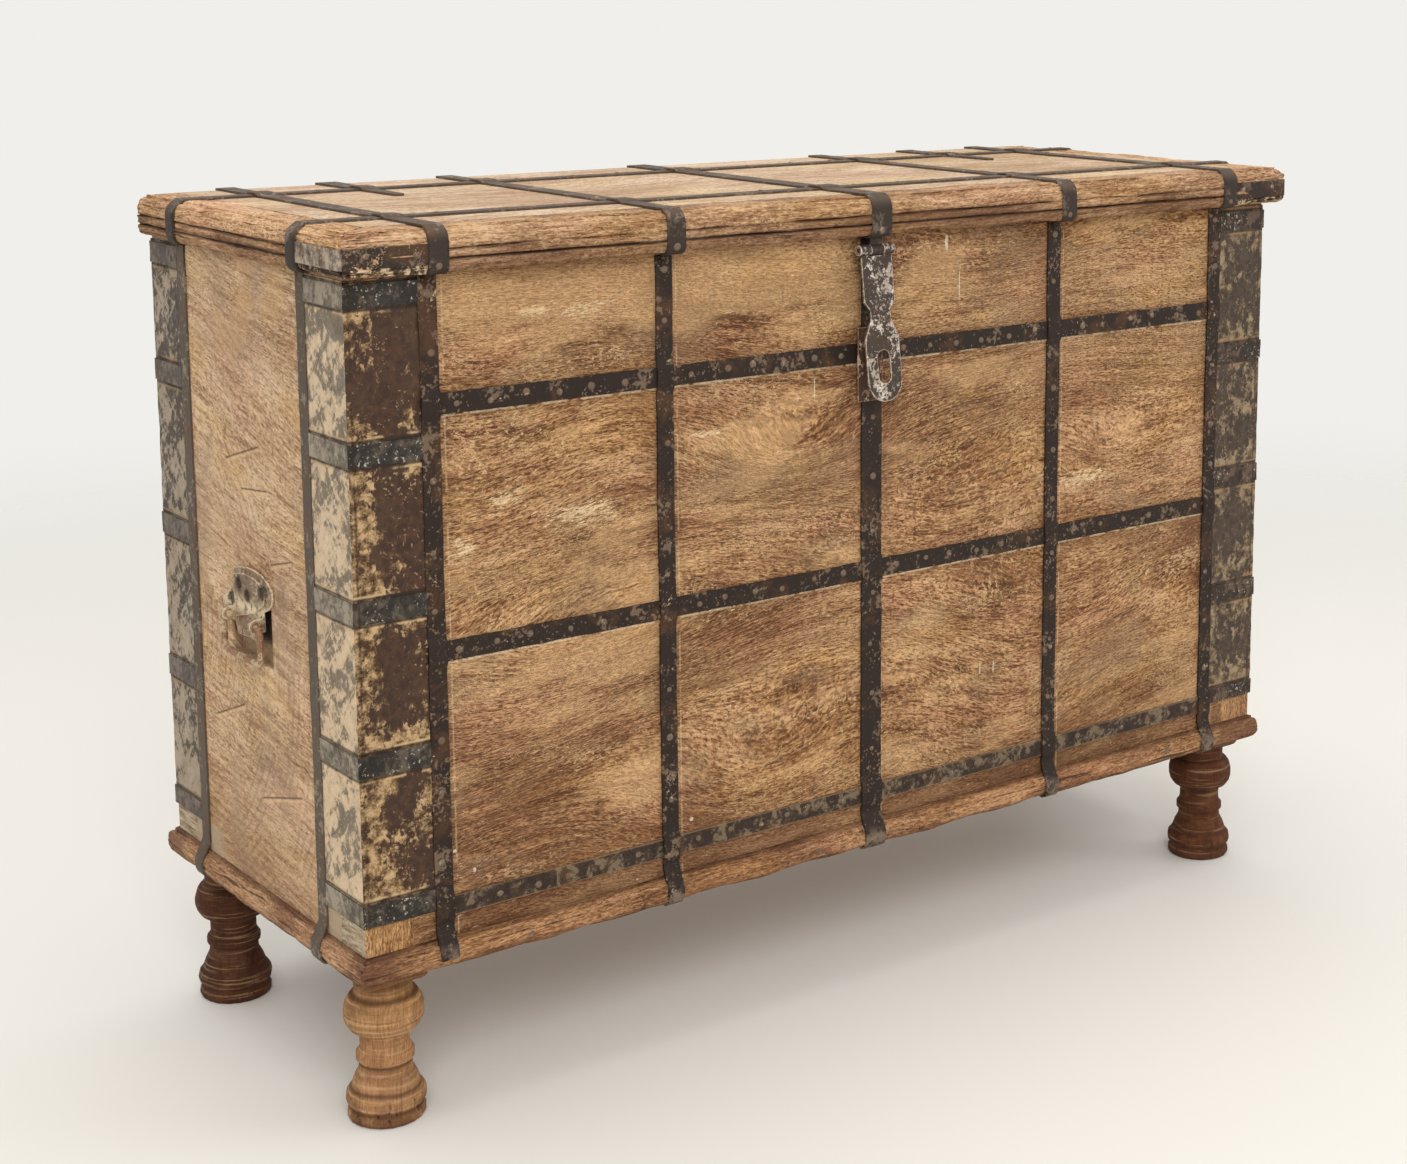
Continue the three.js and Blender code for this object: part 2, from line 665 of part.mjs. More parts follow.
// Strap hinges: a long leaf over the lid, a leaf down the back, a pin between
const leafPlan = (x, along) => [
  [x - hingeWidth / 2, along[0]],
  [x + hingeWidth / 2, along[0]],
  ...arc(x, along[1], hingeTipWidth / 2, (along[1] - along[0] > 0 ? 1 : -1) * hingeTipWidth / 2, 0, 180, curveSteps),
];
const overBackStrap = stepOver(lengthStrapPlaces[1], lengthStrapWidth).map(([y, rise]) => [y, lidTop + rise]);
const topLeafPath = [
  [halfDepth - hingeTopReach, lidTop],
  ...overBackStrap,
  [halfDepth, lidTop],
  [halfDepth, hingeAxisZ],
];
const leafFace = [halfDepth + fitGap, halfDepth + fitGap + strapThickness];
const boreRadius = hingePinRadius + fitGap;
for (const [end, side] of [['left', -1], ['right', 1]]) {
  const x = side * hingeShare * halfWidth;
  const half = hingeWidth / 2;
  const middleHalf = hingeMiddle / 2;
  const clearHalf = middleHalf + fitGap;
  const bore = barAlongX(hingeAxisY, hingeAxisZ, boreRadius, x - half - overrun, x + half + overrun);
  const barrelZone = rectangle(
    halfDepth,
    hingeAxisY + hingeBarrelRadius + overrun,
    hingeAxisZ - hingeBarrelRadius - overrun,
    hingeAxisZ + hingeBarrelRadius + fitGap,
  );
  const outerZones = solid(alongX(barrelZone, x - half - overrun, x - middleHalf))
    .add(solid(alongX(barrelZone, x + middleHalf, x + half + overrun)));
  const tip = halfDepth - hingeTopReach + hingeTipWidth / 2;
  const plan = leafPlan(x, [halfDepth + overrun, tip]);
  const top = solid(alongX(ribbon(topLeafPath, strapThickness), x - half, x + half))
    .intersect(solid(alongZ(plan, hingeAxisZ - overrun, lidTop + overrun)))
    .subtract(outerZones)
    .add(barAlongX(hingeAxisY, hingeAxisZ, hingeBarrelRadius, x - middleHalf, x + middleHalf))
    .subtract(bore);
  add(`hinge_top_leaf_${end}`, surface(top), darkIron);

  const lowerTip = rim - hingeBackReach + hingeTipWidth / 2;
  const backPlan = leafPlan(x, [hingeAxisZ, lowerTip]);
  const middleZone = solid(alongX(barrelZone, x - clearHalf, x + clearHalf));
  const lower = solid(alongY(backPlan, ...leafFace))
    .add(barAlongX(hingeAxisY, hingeAxisZ, hingeBarrelRadius, x - half, x + half))
    .subtract(middleZone)
    .add(barAlongX(hingeAxisY, hingeAxisZ, hingePinRadius, x - half, x + half));
  add(`hinge_back_leaf_${end}`, surface(lower), darkIron);
}

// Hasp: drawn hanging straight from its barrel, then leaned out about the pin
function haspOutline() {
  const [upper, neckTop, neckEnd, lobe] = haspNeckShares.map((share) => -share * haspLength);
  const half = [
    [haspBarrelLength / 2, 0],
    [haspWidth / 2, -haspBarrelRadius],
    [haspWidth / 2, upper],
    [haspNeckWidth / 2, neckTop],
    [haspNeckWidth / 2, neckEnd],
    [haspLobeWidth / 2, lobe],
  ];
  const end = arc(0, -(haspLength - haspLobeWidth / 2), haspLobeWidth / 2, haspLobeWidth / 2, 0, -180,
    curveSteps * 2);
  return [...half, ...end, ...mirrored(half).reverse()];
}

const haspSlot = [
  ...arc(0, -(haspSlotCentre - haspSlotLength / 2 + haspSlotWidth / 2), haspSlotWidth / 2, haspSlotWidth / 2,
    0, 180, curveSteps),
  ...arc(0, -(haspSlotCentre + haspSlotLength / 2 - haspSlotWidth / 2), haspSlotWidth / 2, haspSlotWidth / 2,
    180, 360, curveSteps),
];
const knuckleClear = knuckleHalf + fitGap;
const knuckleReach = haspBarrelRadius + fitGap * 4;
const haspBody = solid(alongY(haspOutline(), -haspThickness / 2, haspThickness / 2))
  .subtract(solid(alongY(haspSlot, -overrun, overrun)))
  .add(barAlongX(0, 0, haspBarrelRadius, -haspBarrelLength / 2, haspBarrelLength / 2))
  .subtract(solid(alongX(rectangle(-overrun, overrun, -knuckleReach, overrun), -knuckleClear, knuckleClear)))
  .subtract(barAlongX(0, 0, haspPinRadius + fitGap, -haspBarrelLength, haspBarrelLength));
const hasp = surface(haspBody)
  .rotateX(-THREE.MathUtils.degToRad(haspLean))
  .translate(haspX, haspAxisY, haspAxisZ);
add('hasp', hasp, brightIron);

// Staple: a plate over the middle strap with a round loop standing out of it
const lean = THREE.MathUtils.degToRad(haspLean);
const stapleZ = haspAxisZ - haspSlotCentre * Math.cos(lean);
const stapleFace = -(halfDepth + 2 * strapLift + fitGap);
const loopRadius = (stapleHeight - stapleRod) / 2;
const haspBackY = haspAxisY - (haspAxisZ - stapleZ) * Math.tan(lean) + haspThickness / 2 / Math.cos(lean);
const loopTip = haspBackY + stapleGap + stapleHeight / 2 * Math.tan(lean);
const loopCentreY = loopTip + stapleRod / 2 + loopRadius;
const loopCurve = new THREE.CurvePath();
const loopPoint = (y, z) => new THREE.Vector3(haspX, y, z);
const loopRoot = stapleFace - staplePlateThickness / 2;
loopCurve.add(new THREE.LineCurve3(
  loopPoint(loopRoot, stapleZ + loopRadius),
  loopPoint(loopCentreY, stapleZ + loopRadius),
));
class LoopArc extends THREE.Curve {
  getPoint(t, target = new THREE.Vector3()) {
    const angle = Math.PI * (1 / 2 + t);
    return target.set(haspX, loopCentreY + loopRadius * Math.cos(angle), stapleZ + loopRadius * Math.sin(angle));
  }
}
loopCurve.add(new LoopArc());
loopCurve.add(new THREE.LineCurve3(
  loopPoint(loopCentreY, stapleZ - loopRadius),
  loopPoint(loopRoot, stapleZ - loopRadius),
));
const rodShape = (rod) => new THREE.Shape(
  arc(0, 0, rod / 2, rod / 2, 0, 360, rodSides).slice(0, rodSides).map(([a, b]) => new THREE.Vector2(a, b)),
);
const loop = new THREE.ExtrudeGeometry(rodShape(stapleRod), { steps: loopSteps, extrudePath: loopCurve });
const staplePlate = rectangle(
  haspX - staplePlateWidth / 2,
  haspX + staplePlateWidth / 2,
  stapleZ - staplePlateHeight / 2,
  stapleZ + staplePlateHeight / 2,
);
const staple = solid(alongY(staplePlate, stapleFace - staplePlateThickness, stapleFace)).add(solid(loop));
add('hasp_staple', surface(staple), darkIron);

// Handles: a hammered shell with a curled horn, a tongue between two lugs, and a bail that hangs in them
// The outlines run from the lower edge round by the horn, as shares of reach and rise
const handleTongueShares = [
  [-0.333, 0], [-0.333, -0.192], [-0.29, -0.425], [0.022, -0.384], [0.43, -0.425],
  [0.473, -0.301],
];
const handleShellShares = [
  [0.538, -0.192], [0.742, -0.178], [0.935, -0.137], [1, -0.027], [0.968, 0.123],
  [0.839, 0.288], [0.624, 0.452], [0.516, 0.589], [0.473, 0.74], [0.516, 0.795],
  [0.57, 0.822], [0.452, 0.904], [0.323, 0.945], [0.011, 1], [-0.237, 1],
  [-0.473, 0.973], [-0.699, 0.877], [-0.839, 0.753], [-0.86, 0.603], [-0.817, 0.452],
  [-0.72, 0.356], [-0.538, 0.247], [-0.398, 0.123],
];
const handleDentShares = [
  [0.237, 0.644], [-0.57, 0.644], [0.527, 0.329], [-0.054, 0.466],
];
const bailHalf = bailSpan / 2;
const lugMiddle = bailHalf - bailCorner - lugGap - lugThickness / 2;

for (const [end, side] of [['left', -1], ['right', 1]]) {
  const face = halfWidth + fitGap;
  const top = face + handlePlateThickness;
  const slab = (outline, from, to) => solid(alongX(outline, Math.min(side * from, side * to),
    Math.max(side * from, side * to)));
  const spread = ([across, up]) => [handleY - side * across * handleReach, bailAxisZ + up * handleRise];
  const turned = (shares) => (side < 0 ? shares.map(spread) : shares.map(spread).reverse());
  const shrink = ([across, up]) => {
    const [middleAcross, middleUp] = handleBulgeCentreShares;
    return [
      middleAcross + handleBulgeShare * (across - middleAcross),
      middleUp + handleBulgeShare * (up - middleUp),
    ];
  };
  let plate = slab(turned([...handleTongueShares, ...handleShellShares]), face, top)
    .add(slab(turned(handleShellShares.map(shrink)), face, top + handleBulge));
  for (const [across, up] of handleDentShares.map(spread)) {
    const dent = disc(across, up, handleDentRadius);
    plate = plate.subtract(slab(dent, top + handleBulge - handleDentDepth, top + handleBulge + overrun));
  }
  const axisX3 = side * (halfWidth + bailAxisOut);
  for (const way of [-1, 1]) {
    const lugY = handleY + way * lugMiddle;
    const lug = [
      ...arc(axisX3, bailAxisZ, lugRadius, lugRadius, side > 0 ? -90 : 90, side > 0 ? 90 : 270, curveSteps),
      [side * (face + handlePlateThickness / 2), bailAxisZ + lugRadius],
      [side * (face + handlePlateThickness / 2), bailAxisZ - lugRadius],
    ];
    const ordered = side > 0 ? lug : [...lug.slice(0, -2), lug[lug.length - 1], lug[lug.length - 2]];
    const foot = rectangle(lugY - lugThickness / 2, lugY + lugThickness / 2,
      bailAxisZ - lugRadius, bailAxisZ + lugFootRise);
    plate = plate.add(slab(foot, face, top))
      .add(solid(alongY(ordered, lugY - lugThickness / 2, lugY + lugThickness / 2)));
  }
  const pinHole = disc(axisX3, bailAxisZ, bailRod / 2 + fitGap);
  plate = plate.subtract(solid(alongY(pinHole, handleY - bailSpan, handleY + bailSpan)));
  add(`handle_plate_${end}`, surface(plate), brightIron);

  const spot = (y, z) => new THREE.Vector3(axisX3, handleY + y, bailAxisZ + z);
  const path = new THREE.CurvePath();
  const pinEnd = lugMiddle - lugThickness / 2 - bailPinPast;
  path.add(new THREE.LineCurve3(spot(-pinEnd, 0), spot(-(bailHalf - bailCorner), 0)));
  path.add(new THREE.QuadraticBezierCurve3(
    spot(-(bailHalf - bailCorner), 0), spot(-bailHalf, 0), spot(-bailHalf, -bailCorner)));
  path.add(new THREE.LineCurve3(spot(-bailHalf, -bailCorner), spot(-bailHalf, -(bailDrop - bailCorner))));
  path.add(new THREE.QuadraticBezierCurve3(
    spot(-bailHalf, -(bailDrop - bailCorner)), spot(-bailHalf, -bailDrop), spot(-(bailHalf - bailCorner), -bailDrop)));
  path.add(new THREE.LineCurve3(spot(-(bailHalf - bailCorner), -bailDrop), spot(bailHalf - bailCorner, -bailDrop)));
  path.add(new THREE.QuadraticBezierCurve3(
    spot(bailHalf - bailCorner, -bailDrop), spot(bailHalf, -bailDrop), spot(bailHalf, -(bailDrop - bailCorner))));
  path.add(new THREE.LineCurve3(spot(bailHalf, -(bailDrop - bailCorner)), spot(bailHalf, -bailCorner)));
  path.add(new THREE.QuadraticBezierCurve3(
    spot(bailHalf, -bailCorner), spot(bailHalf, 0), spot(bailHalf - bailCorner, 0)));
  path.add(new THREE.LineCurve3(spot(bailHalf - bailCorner, 0), spot(pinEnd, 0)));
  const bail = new THREE.ExtrudeGeometry(rodShape(bailRod), { steps: rodSteps, extrudePath: path });
  add(`handle_bail_${end}`, surface(solid(bail)), brightIron);
}

// The origin lies on the floor under the middle of the trunk
const extent = new THREE.Box3().setFromObject(trunk);
const centre = extent.getCenter(new THREE.Vector3());
trunk.position.set(-centre.x, -centre.y, -extent.min.z);
trunk.updateMatrixWorld(true);

export default trunk;
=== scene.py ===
"""Dresses an iron-bound wooden trunk: worn wood, rusty iron, flaking paint, nails and forged fittings."""
import math
import random

import bpy
from bpy.props import FloatProperty, FloatVectorProperty, IntProperty, PointerProperty
from mathutils import Matrix, Vector


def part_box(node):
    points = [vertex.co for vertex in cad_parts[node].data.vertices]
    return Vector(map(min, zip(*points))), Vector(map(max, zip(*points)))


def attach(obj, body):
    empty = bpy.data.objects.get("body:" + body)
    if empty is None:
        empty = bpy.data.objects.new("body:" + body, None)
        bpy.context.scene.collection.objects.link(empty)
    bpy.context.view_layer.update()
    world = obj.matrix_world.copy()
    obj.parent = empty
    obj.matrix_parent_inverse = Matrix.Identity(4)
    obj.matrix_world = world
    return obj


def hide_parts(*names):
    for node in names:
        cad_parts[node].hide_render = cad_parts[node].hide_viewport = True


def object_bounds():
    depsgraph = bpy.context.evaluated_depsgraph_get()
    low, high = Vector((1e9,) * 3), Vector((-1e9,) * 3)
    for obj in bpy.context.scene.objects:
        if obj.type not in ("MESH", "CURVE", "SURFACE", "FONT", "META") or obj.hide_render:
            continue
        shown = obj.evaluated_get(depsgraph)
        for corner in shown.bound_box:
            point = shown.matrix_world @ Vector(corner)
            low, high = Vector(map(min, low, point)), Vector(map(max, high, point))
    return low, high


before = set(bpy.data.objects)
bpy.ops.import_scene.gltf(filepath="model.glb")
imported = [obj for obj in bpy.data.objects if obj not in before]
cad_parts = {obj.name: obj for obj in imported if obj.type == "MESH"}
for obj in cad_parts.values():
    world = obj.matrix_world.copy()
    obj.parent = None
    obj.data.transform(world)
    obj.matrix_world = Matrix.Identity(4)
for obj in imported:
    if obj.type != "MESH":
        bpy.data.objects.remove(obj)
CAD_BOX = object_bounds()

bl_info = {
    "name": "Iron-bound trunk",
    "version": (1, 0, 0),
    "blender": (4, 5, 0),
    "location": "3D View > Sidebar > Trunk",
    "description": "Dresses a wooden trunk with worn wood, rusty iron, flaking paint and nails",
    "category": "Object",
}

MM = 0.001
RIGHTWARD = Vector((1, 0, 0))
FRONTWARD = Vector((0, -1, 0))
BACKWARD = Vector((0, 1, 0))
UPWARD = Vector((0, 0, 1))
ENDS = {"left": -RIGHTWARD, "right": RIGHTWARD}
SIDES = ("front", "back")
CORNERS = ("front_left", "front_right", "back_left", "back_right")
LEVELS = ("low", "middle", "high")
STRAP_NUMBERS = range(1, 6)


def shade(red, green, blue):
    """A colour in linear values from its 0 to 255 screen values."""
    def linear(value):
        value /= 255
        return value / 12.92 if value <= 0.04045 else ((value + 0.055) / 1.055) ** 2.4
    return tuple(linear(value) for value in (red, green, blue))


def toned(colour, share):
    """The colour made darker or paler by a share."""
    return tuple(min(share * part, 1.0) for part in colour)


def middle(node):
    low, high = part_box(node)
    return (low + high) / 2


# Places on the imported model
CASE_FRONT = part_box("front_board_lower")[0].y
CASE_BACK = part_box("back_board")[1].y
CASE_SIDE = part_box("right_board_lower")[1].x
STRAP_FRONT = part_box("front_cross_low")[0].y
LID_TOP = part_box("lid_board_front")[1].z
LID_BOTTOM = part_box("lid_rail_front")[0].z
FRAME_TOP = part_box("frame_rail_front")[1].z
UPRIGHTS = [middle(f"front_upright_{i}").x for i in STRAP_NUMBERS]
CROSSES = [middle(f"front_cross_{level}").z for level in LEVELS]
LENGTHWAYS = [middle(f"lid_length_strap_{side}").y for side in SIDES]
STRAP_HALF = 14 * MM


class TrunkLooks(bpy.types.PropertyGroup):
    """Sizes and colours that set how the trunk looks."""
    nail_diameter: FloatProperty(
        name="Nail diameter", description="Across a nail's head", default=8.5 * MM, unit="LENGTH")
    nail_height: FloatProperty(
        name="Nail height", description="How far a nail's head stands out", default=2.2 * MM, unit="LENGTH")
    nail_spacing: FloatProperty(
        name="Nail spacing", description="Between nails along a strap", default=86 * MM, unit="LENGTH")
    wood_dark: FloatVectorProperty(
        name="Dark wood", description="Pores and late wood", subtype="COLOR", default=shade(88, 52, 27))
    wood_mid: FloatVectorProperty(
        name="Wood", description="Main colour of the case", subtype="COLOR", default=shade(168, 124, 84))
    wood_pale: FloatVectorProperty(
        name="Pale wood", description="Worn high fibres", subtype="COLOR", default=shade(208, 168, 124))
    side_mid: FloatVectorProperty(
        name="End wood", description="Boards at the two ends", subtype="COLOR", default=shade(198, 162, 124))
    bleached_mid: FloatVectorProperty(
        name="Bleached wood", description="Lid boards", subtype="COLOR", default=shade(190, 160, 130))
    iron_dark: FloatVectorProperty(
        name="Iron", description="Straps and fittings", subtype="COLOR", default=shade(40, 28, 21))
    iron_worn: FloatVectorProperty(
        name="Worn iron", description="Rubbed parts of the iron", subtype="COLOR",
        default=shade(136, 112, 90))
    paint_pale: FloatVectorProperty(
        name="Pale paint", description="Flecks of old paint on the iron", subtype="COLOR",
        default=shade(196, 172, 140))
    rust: FloatVectorProperty(
        name="Rust", description="Rust on the iron", subtype="COLOR", default=shade(150, 102, 62))
    floor_colour: FloatVectorProperty(
        name="Floor", description="Plain pale floor", subtype="COLOR", default=shade(238, 235, 229))
    key_power: FloatProperty(
        name="Key light", description="Power of the large lamp", default=108, unit="POWER")
    sky_strength: FloatProperty(
        name="Sky", description="Strength of the even light", default=0.78)
    seed: IntProperty(name="Seed", description="Seed of all random draws", default=7)


def looks():
    return bpy.context.scene.trunk_looks


def tones(*names):
    """The set colours with these names, as tuples."""
    return [tuple(getattr(looks(), name)) for name in names]


# Node graphs

class Value:
    """What a node puts out, so that values can be added and multiplied by the usual signs."""

    def __init__(self, graph, socket):
        self.graph = graph
        self.socket = socket

    def __add__(self, other):
        return self.graph.math("ADD", self, other)

    def __sub__(self, other):
        return self.graph.math("SUBTRACT", self, other)

    def __rsub__(self, other):
        return self.graph.math("SUBTRACT", other, self)

    def __mul__(self, other):
        return self.graph.math("MULTIPLY", self, other)

    def __abs__(self):
        return self.graph.math("ABSOLUTE", self)

    __rmul__ = __mul__


class Graph:
    """Adds nodes to one node tree and links them."""

    def __init__(self, tree):
        self.tree = tree

    def feed(self, socket, value):
        if isinstance(value, Value):
            self.tree.links.new(value.socket, socket)
        elif hasattr(socket.default_value, "__len__") and len(socket.default_value) == 4:
            socket.default_value = (*value, 1) if len(value) == 3 else value
        else:
            socket.default_value = value

    def put(self, kind, sockets=None, **settings):
        node = self.tree.nodes.new("ShaderNode" + kind)
        for name, value in settings.items():
            setattr(node, name, value)
        for name, value in (sockets or {}).items():
            self.feed(node.inputs[name], value)
        return node

    def value(self, node, output=0):
        return Value(self, node.outputs[output])

    def math(self, operation, *values):
        return self.value(self.put("Math", dict(enumerate(values)), operation=operation))

    def most(self, first, *others):
        for other in others:
            first = self.math("MAXIMUM", first, other)
        return first

    def least(self, first, *others):
        for other in others:
            first = self.math("MINIMUM", first, other)
        return first

    def length(self, first, second):
        """How long a step is, from its two parts."""
        return self.math("SQRT", first * first + second * second)

    def blend(self, factor, first, second, kind="MIX"):
        node = self.put("Mix", {0: factor, 6: first, 7: second}, data_type="RGBA", blend_type=kind)
        return self.value(node, 2)

    def layers(self, colour, *layers):
        """The colour under layers, each given as (mask, share, colour)."""
        for mask, share, over in layers:
            colour = self.blend(mask * share, colour, over)
        return colour

    def fall(self, value, low, high):
        """1 up to low, and a soft fall from there to 0 at high."""
        return self.step(value, low, high, 1.0, 0.0)

    def step(self, value, low, high, start=0.0, end=1.0):
        """The value as a soft step from low to high."""
        numbers = dict(enumerate((value, low, high, start, end)))
        return self.value(self.put("MapRange", numbers, interpolation_type="SMOOTHSTEP"))

    def mapped(self, place, scale, offset=(0, 0, 0), turn=(0, 0, 0)):
        node = self.put("Mapping", {"Vector": place, "Location": offset, "Rotation": turn, "Scale": scale})
        return self.value(node)

    def noise(self, place, scale, detail=3.0, rough=0.55, warp=0.0, offset=(0, 0, 0), tilt=None):
        """Clouds, which three scales stretch along the axes, after a tilt where one is given."""
        stretched = isinstance(scale, tuple)
        if tilt:
            place, offset = self.mapped(place, (1, 1, 1), offset, tilt), (0, 0, 0)
        if stretched or any(offset):
            place = self.mapped(place, scale if stretched else (1, 1, 1), offset)
        node = self.put("TexNoise", {
            "Vector": place, "Scale": 1.0 if stretched else scale, "Detail": detail, "Roughness": rough,
            "Distortion": warp})
        return self.value(node, "Fac")

    def split(self, vector):
        node = self.put("SeparateXYZ", {"Vector": vector})
        return [Value(self, socket) for socket in node.outputs]

    def join(self, x, y, z):
        return self.value(self.put("CombineXYZ", {"X": x, "Y": y, "Z": z}))

    def facing(self):
        """The way that the surface faces, as three numbers."""
        return self.split(self.value(self.put("NewGeometry"), "True Normal"))

    def ramp(self, value, stops):
        node = self.put("ValToRGB", {"Fac": value})
        ramp = node.color_ramp
        while len(ramp.elements) < len(stops):
            ramp.elements.new(0.5)
        for element, (place, colour) in zip(ramp.elements, stops):
            element.position = place
            element.color = (*colour, 1)
        return self.value(node, "Color")

    def distance(self, coordinate, places):
        """How far a coordinate is from the nearest of the places."""
        return self.least(*[abs(coordinate - place) for place in places])

    def near(self, coordinate, places, reach):
        """1 on a place, or on any of several along one coordinate, falling to 0 at the reach."""
        if not isinstance(places, (list, tuple)):
            places = [places]
        return self.fall(self.distance(coordinate, places), 0.0, reach)

    def spot(self, x, z, centre, level, reach, rise):
        """1 at a centre and level, falling to 0 at the reach beside them and at the rise above them."""
        return self.near(x, centre, reach) * self.near(z, level, rise)

    def group(self, name, build, place, numbers):
        """The outputs, by name, of a shared node group, which build fills at its first use."""
        tree = bpy.data.node_groups.get(name) or group_tree(name, build, numbers)
        node = self.put("Group", {"Vector": place, **numbers}, node_tree=tree)
        return {socket.name: Value(self, socket) for socket in node.outputs}


def group_tree(name, build, numbers):
    """A new node group that takes a place and numbers, and puts out what build makes of them."""
    tree = bpy.data.node_groups.new(name, "ShaderNodeTree")
    tree.interface.new_socket(name="Vector", in_out="INPUT", socket_type="NodeSocketVector")
    for label, number in numbers.items():
        socket = tree.interface.new_socket(name=label, in_out="INPUT", socket_type="NodeSocketFloat")
        socket.default_value = number
    graph = Graph(tree)
    start = tree.nodes.new("NodeGroupInput")
    results = build(graph, {socket.name: Value(graph, socket) for socket in start.outputs})
    for label in results:
        tree.interface.new_socket(name=label, in_out="OUTPUT", socket_type="NodeSocketFloat")
    end = tree.nodes.new("NodeGroupOutput")
    for label, value in results.items():
        graph.feed(end.inputs[label], value)
    return tree


def grain(graph, given):
    """Wood grain that runs along X: growth rings, fibres, crumbs, pores, lifted chips and broad tones."""
    place = given["Vector"]
    x, y, z = graph.split(place)
    sweep = graph.noise(place, (1.3, 2.6, 2.6), 1.0, 0.4)
    wave = graph.noise(place, (6, 16, 16), 2.0, offset=(4, 2, 9))
    across = z + 0.7 * y + 3.0 * ((sweep - 0.5) * given["Flow"]) + 0.012 * wave
    sine = graph.math("SINE", across * given["Rings per metre"] * math.tau)
    where = graph.noise(place, (2.5, 5, 5), 2.0, offset=(0, 8, 3))
    bent = graph.join(x, 0.0, across)
    dots = graph.noise(bent, (120, 1, 430), 1.0, 0.5, offset=(3, 0, 8))
    ragged = graph.noise(bent, (110, 1, 250), 3.0, 0.7, 0.8, offset=(3.1, 0, 7.7))
    zone = graph.noise(place, (5, 9, 13), 4.0, 0.6, offset=(9.3, 0, 0))
    return {
        "Rings": 0.5 * (sine * graph.step(where, 0.42, 0.62, 0.25, 1.0)) + 0.5,
        "Fibre": graph.noise(bent, (30, 1, 340), 3.0, 0.75),
        "Streak": graph.noise(bent, (6, 1, 62), 5.0, 0.68),
        "Crumb": graph.noise(bent, (95, 1, 400), 3.0, 0.75, 0.5, offset=(7, 0, 2)),
        "Pores": graph.step(dots, 0.55, 0.66),
        "Chips": graph.step(ragged + 0.8 * (zone - 0.5), 0.57, 0.65),
        "Broad": graph.noise(place, (2.6, 6, 6.5), 4.0, 0.6, offset=(0, 0, 2.3)),
        "Hue": graph.noise(place, (4, 8, 9), 4.0, 0.62, offset=(5, 5, 5)),
    }


def flaking(graph, given):
    """Ragged patches of a coat that flakes: the mask is 1 where the coat is left."""
    large = graph.noise(given["Vector"], given["Scale"], 4.0, 0.62, 0.3)
    fine = graph.noise(given["Vector"], 10.0 * given["Scale"], 3.0, 0.65)
    value = large + 0.5 * (fine - 0.5) + (given["Amount"] - 0.5)
    return {"Mask": graph.step(value, 0.48, 0.53)}


def grime(graph, given):
    """Rubbed patches, specks, pits and rust of iron, and its broad tone."""
    place = given["Vector"]
    cloud = graph.noise(place, 26.0, 4.0, 0.65)
    fleck = graph.noise(place, 150.0, 3.0, 0.62)
    dots = graph.noise(place, 210.0, 2.0, 0.6, offset=(4, 1, 2))
    patch = graph.noise(place, 18.0, 2.0, offset=(0, 5, 1))
    return {
        "Worn": graph.step(0.6 * cloud + 0.4 * fleck, 0.5, 0.64),
        "Specks": graph.step(0.72 * dots + 0.28 * patch, 0.6, 0.66),
        "Pits": graph.noise(place, 300.0, 2.0, 0.55),
        "Rust": graph.step(graph.noise(place, 15.0, 5.0, 0.7, 0.6), 0.5, 0.66),
        "Tone": graph.noise(place, 7.0, 3.0, 0.5),
    }


def blank_material(name):
    """An empty material, its graph and the place on the piece."""
    material = bpy.data.materials.new(name)
    material.use_nodes = True
    material.node_tree.nodes.clear()
    graph = Graph(material.node_tree)
    return material, graph, graph.value(graph.put("TexCoord"), "Object")


def finish_material(graph, colour, rough, height, strength, distance, metallic=0.0, specular=0.35,
                    alpha=1.0):
    bump = graph.put("Bump", {"Height": height, "Strength": strength, "Distance": distance})
    surface = graph.put("BsdfPrincipled", {
        "Base Color": colour, "Roughness": rough, "Normal": graph.value(bump), "Metallic": metallic,
        "Specular IOR Level": specular, "Alpha": alpha})
    graph.put("OutputMaterial", {"Surface": graph.value(surface)})


# Wood

# How far the grain of the end boards leans
END_SLANT = -0.14
GRAIN_TURNS = {
    "x": (0, 0, 0),
    "y": (0, 0, math.pi / 2),
    "z": (0, math.pi / 2, 0),
    "slant": (END_SLANT, 0, math.pi / 2),
}

# Where the five tones of wood lie round the middle of the grain's value
TONE_PLACES = (-0.082, -0.034, 0.0, 0.034, 0.082)
WARM_TINT = (1.0, 0.98, 0.86)
ROSY_TINT = (1.0, 0.94, 0.98)
WOOD_RELIEF = 3.2 * MM

# Oval figure on the front boards: x, height, half length, half height, strength
FIGURES = [
    (-0.150, 0.850, 0.17, 0.060, 0.058),
    (0.480, 0.780, 0.13, 0.050, 0.035),
    (-0.560, 0.720, 0.22, 0.055, -0.034),
    (0.190, 0.560, 0.18, 0.065, 0.040),
    (-0.250, 0.470, 0.24, 0.065, -0.040),
]

# Worn, paler zones of the front, given as the figure is
PALE_ZONES = [
    (-0.590, 1.100, 0.20, 0.085, 0.22),
    (-0.220, 1.100, 0.32, 0.110, 0.27),
    (-0.220, 0.845, 0.22, 0.130, 0.20),
    (0.140, 1.105, 0.14, 0.060, 0.20),
    (0.540, 0.800, 0.10, 0.070, 0.20),
]

# Patches of lifted, pale splinters on the front: x, height, half length, half height
SCARS = [
    (-0.500, 1.095, 0.070, 0.022),
    (-0.570, 1.100, 0.050, 0.014),
    (-0.500, 0.815, 0.120, 0.034),
    (-0.620, 0.850, 0.060, 0.020),
    (-0.690, 0.790, 0.040, 0.030),
    (-0.300, 0.900, 0.060, 0.010),
    (0.440, 0.740, 0.110, 0.024),
]

